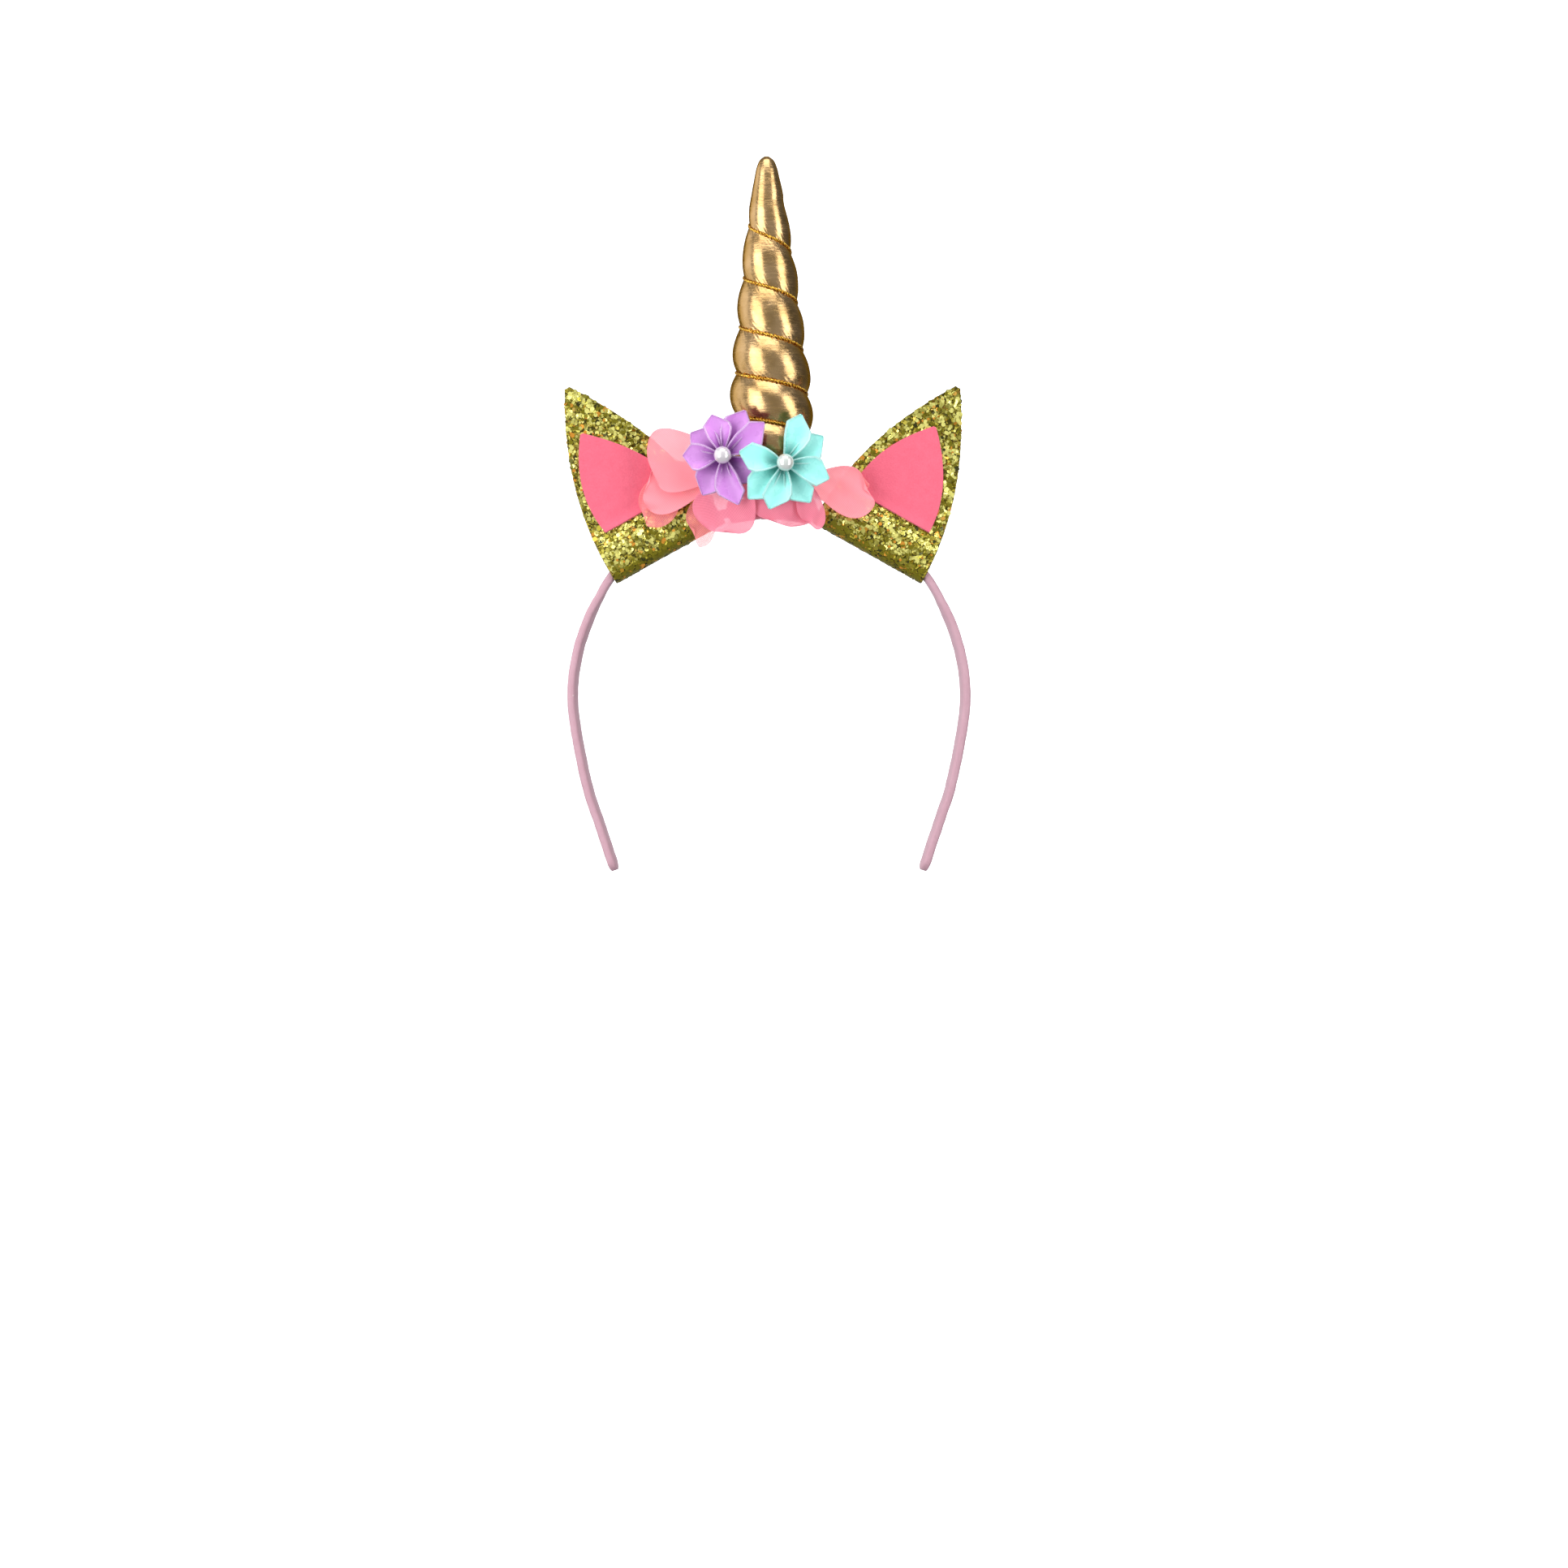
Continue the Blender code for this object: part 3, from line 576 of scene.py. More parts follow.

# %% [markdown]
# ## Foil cloth
#
# Lame is a knit with a rolled metal foil on top, which cracks into fine lines across the cloth.
# A plain metal shader would look like turned brass.
# Noise stretched round the horn gives the fine lines, and rounder noise gives the crumple.
# The fine lines go to roughness and bump, the crumple to the bump alone, and a slow patch of noise shifts the
# gold from bronze to pale.

# %% Horn finish

lame = Look("gold_lame", Metallic=1.0, Specular_Tint=(0.45, 0.30, 0.13))
spot = lame.place()
x, y, z = spot.parts()
grain = lame.noise(spot * (260.0, 260.0, 1500.0), 1.0, 3.0)
crumple = lame.noise(spot * (420.0, 420.0, 420.0), 1.0, 4.0)
threads = z.wave(0.42 * MM)
patch = lame.noise(spot, 130.0, 3.0)
lame.shade(Base_Color=lame.mix(patch.between(0.35, 0.7), (0.50, 0.31, 0.125), (0.64, 0.415, 0.20)))
lame.shade(Roughness=grain.between(0.3, 0.75, 0.18, 0.32))
lame.bump(grain * 0.6 + crumple * 0.5 + threads * 0.06, 0.13 * MM)

horn = skin("lame_horn", horn_points, lame, closed=True, caps=True)
settle(horn, "horn_lame", "horn")
print("Horn piece:", horn.name)

# %% [markdown]
# ## Twisted cord
#
# The cord is two strands of metallic thread twisted together, and it lies in the groove.
# A bevelled curve with a striped bump would pass from far away.
# Real strands cast small shadows into each other and catch the light in beads, so both are modelled.
# Each strand is a tube that circles the cord's line once a twist.

# %% Cord

STRAND_RADIUS = 0.34 * MM
TWIST_LENGTH = 3.0 * MM
CORD_LIFT = 0.10 * MM

turns = np.linspace(CORD_FIRST_TURN, CORD_LAST_TURN, 2600)
line_share = cord_share(turns)
line_angle = math.pi + 2 * math.pi * turns
outward = np.stack([np.cos(line_angle), np.sin(line_angle), 0 * turns], axis=-1)
depth = GROOVE_DEPTH * horn_radius(line_share) / HORN_RADIUS
cord_line = horn_centre(line_share) + outward * (horn_radius(line_share) - depth + CORD_LIFT)[:, None]
travel = np.cumsum(np.linalg.norm(np.diff(cord_line, axis=0, prepend=cord_line[:1]), axis=1))
ahead = unit(np.gradient(cord_line, axis=0))
beside = unit(np.cross(ahead, outward))
strands = []
for start in (0.0, math.pi):
    twist = start + 2 * math.pi * travel / TWIST_LENGTH
    shift = outward * np.cos(twist)[:, None] + beside * np.sin(twist)[:, None]
    strands.append(tube(cord_line + shift * STRAND_RADIUS * 0.8, STRAND_RADIUS, 7))
print("Cord length:", round(travel[-1] / MM), "mm")

# %% [markdown]
# ## Metallic thread
#
# Metallic thread is a foil ribbon spun round a dark core.
# Noise at the size of the foil's turns mixes bright gold with the brown core.
# The same noise sets the roughness, lower on the core than on the foil.

# %% Cord finish

thread = Look("gold_thread", Metallic=0.95)
fibre = thread.noise(thread.place(), 1700.0, 2.0)
thread.shade(Base_Color=thread.mix(fibre.between(0.35, 0.7), (0.26, 0.09, 0.005), (1.0, 0.66, 0.10)))
thread.shade(Roughness=fibre.between(0.3, 0.7, 0.18, 0.42))
thread.bump(fibre, 0.12 * MM)
cord_pieces = []
for number, rings in enumerate(strands, start=1):
    strand = skin(f"cord_strand_{number}", rings, thread, closed=True, caps=True)
    cord_pieces.append(settle(strand, "gold_cord", "horn_cord"))
print("Strands:", len(cord_pieces))

# %% [markdown]
# ## Satin strip
#
# The strip is a bent plastic band in a tight sleeve of satin ribbon.
# Its bend is measured as an arch with its arms drawn in, and its section is a box with soft corners.
# A curve with a bevel object could do this, but its section would turn freely along the arms.
# The section is placed ring by ring, so the arms can turn their front edges in by a set angle.

# %% Strip shape

BAND_SECTIONS = 420

arm = [(-reach, drop) for reach, drop in BAND_LINE[:0:-1]] + list(BAND_LINE)
fine = curve_through(arm, 40 * len(arm))
band_x = fine[:, 0] * BAND_REACH
band_z = WRAP_THICKNESS + GAP - fine[:, 1] * BAND_DROP
band_s = np.concatenate([[0.0], np.cumsum(np.hypot(np.diff(band_x), np.diff(band_z)))])
band_half = band_s[-1] / 2
band_s -= band_half


def band_point(s):
    return np.stack([np.interp(s, band_s, band_x), 0 * s, np.interp(s, band_s, band_z)], axis=-1)


def band_normal(s):
    ahead = unit(band_point(np.minimum(s + MM, band_half)) - band_point(np.maximum(s - MM, -band_half)))
    return np.stack([-ahead[..., 2], 0 * s, ahead[..., 0]], axis=-1)
print("Strip length:", round(2 * band_half / MM), "mm")

# %% [markdown]
# ## Strip section
#
# The strip is a flat box with soft corners, as plastic is under tight ribbon.
# The pucker is a fraction of a tenth of a millimetre, just enough to break the highlights.
# The tilt eases in below the ear, and the ends slim to rounded tips.

# %% Strip section

def soft_box(half, low, high, roundness, count):
    """Points round a rectangle with soft corners, as across and up."""
    angle = np.linspace(0, 2 * math.pi, count, endpoint=False) + math.pi / count
    x = np.sign(np.cos(angle)) * np.abs(np.cos(angle)) ** roundness
    y = np.sign(np.sin(angle)) * np.abs(np.sin(angle)) ** roundness
    return half * x, (low + high) / 2 + (high - low) / 2 * y


TIP_LENGTH = 4 * MM
ARM_TILT = math.radians(9.0)
TILT_STARTS = 6 * MM
TILT_EASES_OVER = 14 * MM

s = np.linspace(-band_half, band_half, BAND_SECTIONS)
inset = np.clip(1 - (band_half - np.abs(s)) / TIP_LENGTH, 0, 1)
slim = np.sqrt(1 - (0.9 * inset) ** 2)
across, up = soft_box(BAND_WIDTH / 2, 0.0, BAND_THICKNESS, 0.55, 36)
pucker = 0.05 * MM * ripple_sum(ripples(11, 8, 300, 1500), s, 0)
tilt = np.clip((np.abs(s) - EAR_SEAT - EAR_HALF_WIDTH - TILT_STARTS) / TILT_EASES_OVER, 0, 1)
tilt = ARM_TILT * tilt * tilt * (3 - 2 * tilt)
middle = BAND_THICKNESS / 2
wide = across * slim[:, None]
lift = (up - middle) * slim[:, None] ** 0.5 + pucker[:, None]
side = wide * np.cos(tilt)[:, None] + lift * np.sin(tilt)[:, None]
rise = middle + lift * np.cos(tilt)[:, None] - wide * np.sin(tilt)[:, None]
strip = band_point(s)[:, None] + band_normal(s)[:, None] * rise[..., None]
strip = strip + side[..., None] * ACROSS
print("Strip points:", strip.shape[0] * strip.shape[1])

# %% [markdown]
# ## Satin cover
#
# Satin has long floating threads, so it shines softly along one direction.
# Streaks of noise drawn out along the ribbon stand for the floats, with a fine weave in the bump.
# Rare pale spots are dried glue, which such strips nearly always carry.

# %% Strip finish

satin = Look("pink_satin", Specular_IOR_Level=0.5, Sheen_Weight=0.25, Sheen_Roughness=0.4)
u, v = satin.flat()
weft = u.wave(0.34)
warp = v.wave(0.30)
cloud = satin.noise(satin.place(), 90.0, 3.0)
streak = satin.noise(satin.place() * (600.0, 90.0, 600.0), 1.0, 2.0)
cover = satin.mix(cloud * 0.6 + streak * 0.4, (0.47, 0.245, 0.30), (0.57, 0.35, 0.41))
glue = satin.noise(satin.place(), 170.0, 1.0).between(0.74, 0.78)
satin.shade(Base_Color=satin.mix(glue, cover, (0.75, 0.70, 0.70)))
satin.shade(Roughness=streak.between(0.3, 0.7, 0.36, 0.52))
satin.bump(weft * 0.3 + warp * 0.3 + streak * 0.8, 0.05 * MM)
band = skin("satin_strip", strip, satin, closed=True, caps=True)
settle(band, "band_satin", "headband")
print("Strip box in mm:", [round(float(width) / MM, 1) for width in np.ptp(strip.reshape(-1, 3), axis=0)])

# %% [markdown]
# ## Felt and the wound wrap
#
# Felt is pressed fibre without a weave, so it has fuzz but no thread lines.
# Hair particles would be exact, but far too heavy for a piece this small in the picture.
# Sheen gives the bright fibre ends, and two sizes of noise give the fuzz and the lumps.
# The wrap is one band of it wound three times, so its surface steps down in a spiral.

# %% Felt and wrap

felt = Look("pink_felt", Roughness=0.95, Sheen_Weight=0.6, Sheen_Roughness=0.5, Sheen_Tint=(1.0, 0.75, 0.82))
fuzz = felt.noise(felt.place(), 1500.0, 5.0)
lump = felt.noise(felt.place(), 260.0, 3.0)
felt.shade(Base_Color=felt.mix(fuzz * 0.6 + lump * 0.4, (0.66, 0.085, 0.145), (0.84, 0.15, 0.225)))
felt.bump(fuzz * 0.7 + lump * 0.5, 0.22 * MM)

WRAP_TURNS = 3
RIM_LENGTH = 1.2 * MM

bore = BAND_WIDTH / 2 + GAP
s = np.linspace(-WRAP_LENGTH / 2, WRAP_LENGTH / 2, 90)
wall = GAP + WRAP_THICKNESS
across, up = soft_box(bore + WRAP_THICKNESS, -wall, BAND_THICKNESS + wall, 0.62, 60)
turn = np.linspace(0, 1, 60, endpoint=False)
spiral = (WRAP_TURNS * (s[:, None] / WRAP_LENGTH + 0.5) + turn) % 1.0
rim = 1 - 0.5 * np.clip((np.abs(s) - WRAP_LENGTH / 2 + RIM_LENGTH) / RIM_LENGTH, 0, 1)[:, None] ** 2
shrink = 1 - 0.07 * spiral ** 6
lift = middle + (up - middle) * shrink * rim
wrap_points = band_point(s)[:, None] + band_normal(s)[:, None] * lift[..., None]
wrap_points = wrap_points + ACROSS * (across * shrink * rim)[..., None]
wrap = skin("felt_wrap", wrap_points, felt, closed=True, caps=True)
settle(wrap, "wrap_felt", "crown_wrap")
print("Wrap turns:", WRAP_TURNS)

# %% [markdown]
# ## Glitter ears
#
# Each ear is one sheet of glitter cloth, folded round the strip and glued to itself above it.
# Cloth simulation could fold it, but the sheet is stiff and its fold is set by the strip inside.
# So the fold is written as a path: up the front, under the strip and up the back.
# A small frame of its own holds the directions of each ear, since both lean with the strip.

# %% Ear frame

EAR_HALF_DEPTH = BAND_WIDTH / 2 + GAP + EAR_SHEET
LEAF_POWER = 2.1


class EarFrame:
    """Local frame of one ear: along the strip, across it and up its axis."""

    def __init__(self, side, lean, tall=1.0):
        self.lean = lean
        self.tall = tall
        left, right = (band_point(np.array(side * (EAR_SEAT + k * EAR_HALF_WIDTH))) for k in (-side, side))
        self.origin = (left + right) / 2
        self.along = unit(right - left)
        self.up = np.array([-self.along[2], 0.0, self.along[0]])
        reach = np.linspace(-1.3, 1.3, 84) * EAR_HALF_WIDTH + side * EAR_SEAT
        inner = band_point(reach) - self.origin
        outer = inner + band_normal(reach) * BAND_THICKNESS
        near = np.abs(inner @ self.along) < EAR_HALF_WIDTH + GAP
        self.fold = -(inner @ self.up)[near].min() + GAP + EAR_SHEET
        self.crest = self.fold + (outer @ self.up)[near].max() + 2 * GAP

    def place(self, along, across, height):
        height = height * self.tall
        shifted = along + self.lean * height
        spots = self.origin + shifted[..., None] * self.along + (height - self.fold)[..., None] * self.up
        return spots + across[..., None] * ACROSS

    def half_depth(self, height):
        """Half the depth of the folded ear at a height above its fold."""
        start = self.crest + EAR_SHEET
        share = np.clip((height - start) / EAR_CLOSING, 0, 1)
        closing = EAR_HALF_DEPTH + (EAR_SHEET - EAR_HALF_DEPTH) * share * share * (3 - 2 * share)
        low = np.clip(EAR_FOLD_RADIUS - height, 0, EAR_FOLD_RADIUS)
        return np.where(height < EAR_FOLD_RADIUS,
                        EAR_HALF_DEPTH - EAR_FOLD_RADIUS + np.sqrt(EAR_FOLD_RADIUS ** 2 - low ** 2), closing)


def leaf_half(half_width, share):
    return half_width * (1 - np.clip(share, 0, 1) ** LEAF_POWER)
print("Fold above the left ear frame:", round(EarFrame(-1, 0.0).fold / MM, 1), "mm")

# %% [markdown]
# ## Glitter finish
#
# Under the coarse flakes lies a ground of fine glitter in dark glue.
# Its grains are too small to model, so cells of noise give each one a tone and a height.
# The coarse flakes have a look of their own, which takes its tone from the flake's place in the UV map.
# Most are olive gold, a few are orange and very few are nearly black.

# %% Glitter looks

base_glitter = Look("glitter_ground", Metallic=0.7)
spot = base_glitter.place()
speck = base_glitter.cells(spot, 1500.0).parts()[0]
mottle = base_glitter.noise(spot, 160.0, 2.0)
ground = base_glitter.mix(speck.between(0.3, 0.9), (0.09, 0.07, 0.006), (0.45, 0.37, 0.04))
rust = mottle.between(0.55, 0.75, 0.0, 0.4)
base_glitter.shade(Base_Color=base_glitter.mix(rust, ground, (0.60, 0.24, 0.03)))
base_glitter.shade(Roughness=speck.between(0.2, 0.9, 0.25, 0.6))
base_glitter.bump(speck, 0.25 * MM)

flake_look = Look("glitter_flakes", Metallic=0.6, Roughness=0.2)
tone, tint = flake_look.flat()
gold = flake_look.mix(tone.between(0.30, 0.75), (0.24, 0.205, 0.008), (1.0, 0.94, 0.26))
gold = flake_look.mix(tint.between(0.92, 0.95), gold, (0.85, 0.36, 0.04))
flake_look.shade(Base_Color=flake_look.mix(tint.between(0.06, 0.03), gold, (0.05, 0.05, 0.01)))
print("Glitter looks:", base_glitter.material.name, flake_look.material.name)

# %% [markdown]
# ## Coarse flakes
#
# A normal map of flakes would go flat near the outline and never overlap.
# Here every flake is a real six-sided leaf, most of them nearly flat and about a third lifted.
# The lifted ones flash or go dark, as the eye sees when a glitter sheet moves.
# A slow ripple brightens them in clusters, where the glue was thicker.

# %% Flakes

FLAKES = 6500
FLAKE_RADIUS = 0.95 * MM
LOOSE_SHARE = 0.30
LOOSE_TILT = 0.50
FLAT_TILT = 0.10
FLAKE_LIFT = 0.10  # in millimetres
FLAKE_PILE = 0.28  # in millimetres


def scatter_flakes(name, points, normals, painted_light_and_lift, look, dice):
    """Six-sided flakes at the given points, each tilted a little. Where the light share is low, as in the
    fold, they are painted darker as shade and lie flatter.
    """
    count = len(points)
    loose = np.where(dice.uniform(0, 1, (count, 1)) < LOOSE_SHARE, LOOSE_TILT, FLAT_TILT)
    lean = unit(normals + loose * painted_light_and_lift[:, None] * dice.normal(0, 1, (count, 3)))
    side = unit(np.cross(lean, dice.normal(0, 1, (count, 3))))
    up = np.cross(lean, side)
    size = FLAKE_RADIUS * (0.55 + 0.65 * dice.uniform(0, 1, count) ** 2)
    angle = np.arange(6) * math.pi / 3
    ring = side[:, None] * np.cos(angle)[:, None] + up[:, None] * np.sin(angle)[:, None]
    centres = points + normals * (FLAKE_LIFT + painted_light_and_lift[:, None] * dice.uniform(0, FLAKE_PILE, (count, 1))) * MM
    verts = (centres[:, None] + ring * size[:, None, None]).reshape(-1, 3)
    faces = np.arange(6 * count).reshape(-1, 6)
    tones = dice.uniform(0, 1, (count, 2))
    cluster = ripple_sum(ripples(41, 9, 250, 900), points[:, 0], points[:, 2])
    # The first tone is scaled by the light share, so flakes in the fold are painted darker as shade.
    tones[:, 0] = painted_light_and_lift * np.clip(0.60 * tones[:, 0] + 0.22 + 0.22 * cluster, 0, 1)
    uvs = np.repeat(tones, 6, axis=0)
    return blank(name, verts.tolist(), faces.tolist(), uvs, look, smooth=False)
print("Largest flake:", round(2 * FLAKE_RADIUS * 1.2 / MM, 2), "mm")

# %% [markdown]
# ## Folded sheet
#
# The sheet's points run from the front tip under the strip to the back tip.
# Its width follows the leaf outline at every height, which gives the pointed ear on both sides.

# %% Ear sheet

SHEET_WALL = 0.8 * MM
FOLD_SHARE = 0.12  # of the path from fold to tip
TIP_SHARE = 0.985


def leaf_shape(frame, path, widths, wall):
    """Points of the folded sheet. path runs from the front tip under the fold to the back tip."""
    top = TIP_SHARE * EAR_HEIGHT
    height = np.interp(np.abs(path), [0.0, FOLD_SHARE, 1.0], [0.0, EAR_FOLD_RADIUS, top])
    low = np.abs(path) < FOLD_SHARE
    height = np.where(low, EAR_FOLD_RADIUS * (1 - np.cos(np.abs(path) / FOLD_SHARE * math.pi / 2)), height)
    depth = frame.half_depth(height) - wall / 2
    full = EAR_HALF_DEPTH - wall / 2
    flat_part = full - EAR_FOLD_RADIUS
    bend = np.clip(np.abs(path) / FOLD_SHARE, 0, 1)
    depth = np.where(low, bend * flat_part + EAR_FOLD_RADIUS * np.sin(bend * math.pi / 2), depth)
    half = leaf_half(EAR_HALF_WIDTH, height / EAR_HEIGHT)
    along = half[:, None] * widths
    return frame.place(along, (np.sign(path) * depth)[:, None] + 0 * along, height[:, None] + 0 * along)
print("Leaf half width at mid height:", round(float(leaf_half(EAR_HALF_WIDTH, 0.5)) / MM, 1), "mm")

# %% [markdown]
# ## Both ears with their felt
#
# The left ear leans out more than the right one, and so does its felt.
# Here they depart a little from their solids, because the cloth follows the real outline more closely:
# the left ear leans out 0.028 more and is 3% taller, and the felts are 1.2 mm taller and 0.7 mm wider a side.
# Each ear gets its sheet, its flakes and a felt leaf on its front.
# The felt has its own thickness and a softened edge, because it stands clear of the glitter.

# %% Ears

felt_height = FELT_HEIGHT + 1.2 * MM
felt_half = FELT_HALF_WIDTH + 0.7 * MM
FELT_WALL = 0.9 * MM
FELT_CLEARANCE = 0.85 * MM
# name, side, lean of the ear, stretch of its height, lean of its felt
EAR_TABLE = (("left", -1, -0.054, 1.03, -0.128), ("right", 1, -0.008, 1.0, -0.010))
for label, side, lean, tall, felt_lean in EAR_TABLE:
    dice = np.random.default_rng(20 + side)
    ear = EarFrame(side, lean, tall)
    rise_path = np.linspace(FOLD_SHARE, 1, 110)
    path = np.concatenate([-rise_path[::-1], np.linspace(-FOLD_SHARE, FOLD_SHARE, 26)[1:-1], rise_path])
    widths = np.linspace(-1, 1, 80)
    grid = leaf_shape(ear, path, widths, SHEET_WALL)
    normal = unit(np.cross(np.gradient(grid, axis=1), np.gradient(grid, axis=0)))
    rough = 0.12 * MM * ripple_sum(ripples(31, 14, 20, 90), path[:, None] * 3, widths[None] * 2)
    grid = grid + normal * rough[..., None]
    leaf = thicken(skin(f"glitter_ear_{label}", grid, base_glitter), SHEET_WALL)
    settle(leaf, "ear_glitter", f"ear_{label}")

    pick = dice.uniform(0, 1, (3 * FLAKES, 2))
    area_share = 1 - (np.abs(2 * pick[:, 0] - 1)) ** LEAF_POWER
    pick = pick[dice.uniform(0, 1, len(pick)) < np.maximum(area_share, 0.25)][:FLAKES]
    row = (0.015 + 0.97 * pick[:, 0]) * (len(path) - 1.001)
    column = (0.015 + 0.97 * pick[:, 1]) * (len(widths) - 1.001)
    r, c = row.astype(int), column.astype(int)
    fr, fc = (row - r)[:, None], (column - c)[:, None]
    spots = (grid[r, c] * (1 - fr) + grid[r + 1, c] * fr) * (1 - fc) \
        + (grid[r, c + 1] * (1 - fr) + grid[r + 1, c + 1] * fr) * fc
    facing = normal[r, c]
    heart = ear.origin + 0.4 * EAR_HEIGHT * ear.up
    outside = np.sign(facing[:, 1] * (spots - heart)[:, 1])
    facing = facing * np.where(outside == 0, 1, outside)[:, None]
    # Flakes near the fold get a low light share: they are painted darker there as shade, and lie flatter and
    # lower.
    painted_light_and_lift = 0.25 + 0.75 * np.clip((np.abs(np.interp(row, range(len(path)), path)) - 0.10) / 0.07, 0, 1)
    outer_spots = spots + facing * SHEET_WALL / 2
    flakes = scatter_flakes(f"ear_flakes_{label}", outer_spots, facing, painted_light_and_lift, flake_look, dice)
    settle(flakes, "ear_glitter")

    share = np.linspace(0.0, TIP_SHARE, 46)
    height = FELT_RISE + felt_height * share
    half = leaf_half(felt_half, share)
    along = half[:, None] * np.linspace(-1, 1, 34) + (felt_lean * felt_height * share)[:, None]
    depth = -(ear.half_depth(height) + FELT_CLEARANCE)[:, None] + 0 * along
    leaf_points = ear.place(along, depth, height[:, None] + 0 * along)
    inner = thicken(skin(f"felt_ear_{label}", leaf_points, felt), FELT_WALL)
    soften = inner.modifiers.new("soft_edge", "BEVEL")
    soften.width = 0.3 * MM
    soften.segments = 2
    settle(inner, "ear_felt", f"ear_felt_{label}")
print("Flakes:", 2 * FLAKES)

# %% [markdown]
# ## Sheer petals
#
# Nine leaf-shaped pieces of pink chiffon fan out from under the flowers.
# Each one lies over the foot of the horn and then passes in front of the ears.
# A draped simulation would let them slide down, and their own order would be lost.
# So a depth is worked out for every point, with one step forward for each layer.

# %% Drape of the petals

CHIFFON_WALL = 1.0 * MM
CHIFFON_CLEARANCE = 0.42 * MM
LAYER_PITCH = 1.1 * (CHIFFON_WALL + GAP)
SWELL_WIDTH = 1.03 * HORN_RADIUS


def drape_depth(x, z, layer):
    """Depth of a sheer layer, which lies over the horn's foot and passes in front of the ears."""
    ear_front = EAR_HALF_DEPTH + CHIFFON_CLEARANCE + CHIFFON_WALL / 2
    horn_front = HORN_RADIUS + 2 * GAP + CHIFFON_WALL / 2
    swell = np.exp(-((x - HORN_OFFSET) / SWELL_WIDTH) ** 2)
    below = np.maximum(0.0, HORN_FOOT - z) / HORN_RADIUS
    tuck = np.maximum(0.25, 1.0 - 0.6 * below ** 2)
    return ear_front + (horn_front - ear_front) * swell * tuck + layer * LAYER_PITCH
print("Depth at the middle:", round(float(drape_depth(0.0, HORN_FOOT, 0)) / MM, 1), "mm")

# %% [markdown]
# ## Chiffon
#
# Chiffon is a very open weave of fine threads, so what lies behind glows through it.
# Transmission would bend the light like glass, and the cloth doesn't.
# Alpha woven from two sets of thread lines lets part of the view through instead.
# A faint constant glow stands for the light that comes through from the white room behind.

# %% Chiffon looks

def chiffon_look(name, light, deep, thin, dense):
    look = Look(name, Sheen_Weight=0.35, Sheen_Roughness=0.35, Specular_IOR_Level=0.3, Roughness=0.6,
                Emission_Color=(1.0, 0.30, 0.38), Emission_Strength=0.13)
    u, v = look.flat()
    weave = (u + v).wave(0.62) * 0.5 + (u - v).wave(0.62) * 0.5
    cloud = look.noise(look.place(), 110.0, 3.0)
    look.shade(Base_Color=look.mix(cloud * 0.6 + weave * 0.4, deep, light))
    look.shade(Alpha=weave.between(0.15, 0.85, thin, dense))
    look.bump(weave, 0.05 * MM)
    return look


pale = chiffon_look("chiffon_pale", (0.98, 0.36, 0.41), (0.94, 0.27, 0.31), 0.58, 0.82)
thin = chiffon_look("chiffon_thin", (0.98, 0.36, 0.36), (0.94, 0.25, 0.25), 0.34, 0.55)
rosy = chiffon_look("chiffon_rosy", (0.96, 0.32, 0.42), (0.72, 0.15, 0.25), 0.58, 0.82)
print("Chiffons:", [look.material.name for look in (pale, thin, rosy)])

# %% [markdown]
# ## Nine petals
#
# The petals were cut by hand, so each one has its own length, belly and end.
# Some end nearly square and some round. Their edges curl forward and flutter a little.

# %% Petals

# name, root across, root above the horn's foot, angle, length share, width share, layer,
# belly, squareness of the end, slant of the end, cloth
CHIFFON_TABLE = (
    ("chiffon_left_top", -0.96, 0.73, 177, 0.97, 1.00, 2, 2.5, 0.24, -0.06, pale),
    ("chiffon_left_middle", -1.10, 0.60, 197, 1.00, 0.78, 1, 2.2, 0.36, 0.06, pale),
    ("chiffon_left_low", -2.24, 0.76, 241, 0.80, 0.66, 0, 1.5, 0.52, 0.05, thin),
    ("chiffon_left_hanging", -1.54, 0.15, 256, 0.62, 0.50, 0, 1.6, 0.45, 0.15, thin),
    ("chiffon_front_left", -0.66, 0.46, 240, 0.74, 1.00, 2, 1.7, 0.40, -0.05, rosy),
    ("chiffon_front_middle", 0.29, 0.40, 271, 0.56, 1.00, 1, 1.6, 0.36, 0.06, rosy),
    ("chiffon_front_right", 0.76, 0.33, 282, 0.56, 0.42, 2, 1.5, 0.40, 0.10, rosy),
    ("chiffon_right_top", 0.64, 0.14, 3, 0.80, 0.62, 0, 1.5, 0.55, 0.0, thin),
    ("chiffon_right_low", 0.74, 0.36, 345, 0.82, 0.78, 1, 1.7, 0.50, -0.10, pale),
)
SHEER_WALL = 0.12 * MM
CURL = 1.1 * MM
FLUTTER = 0.28 * MM
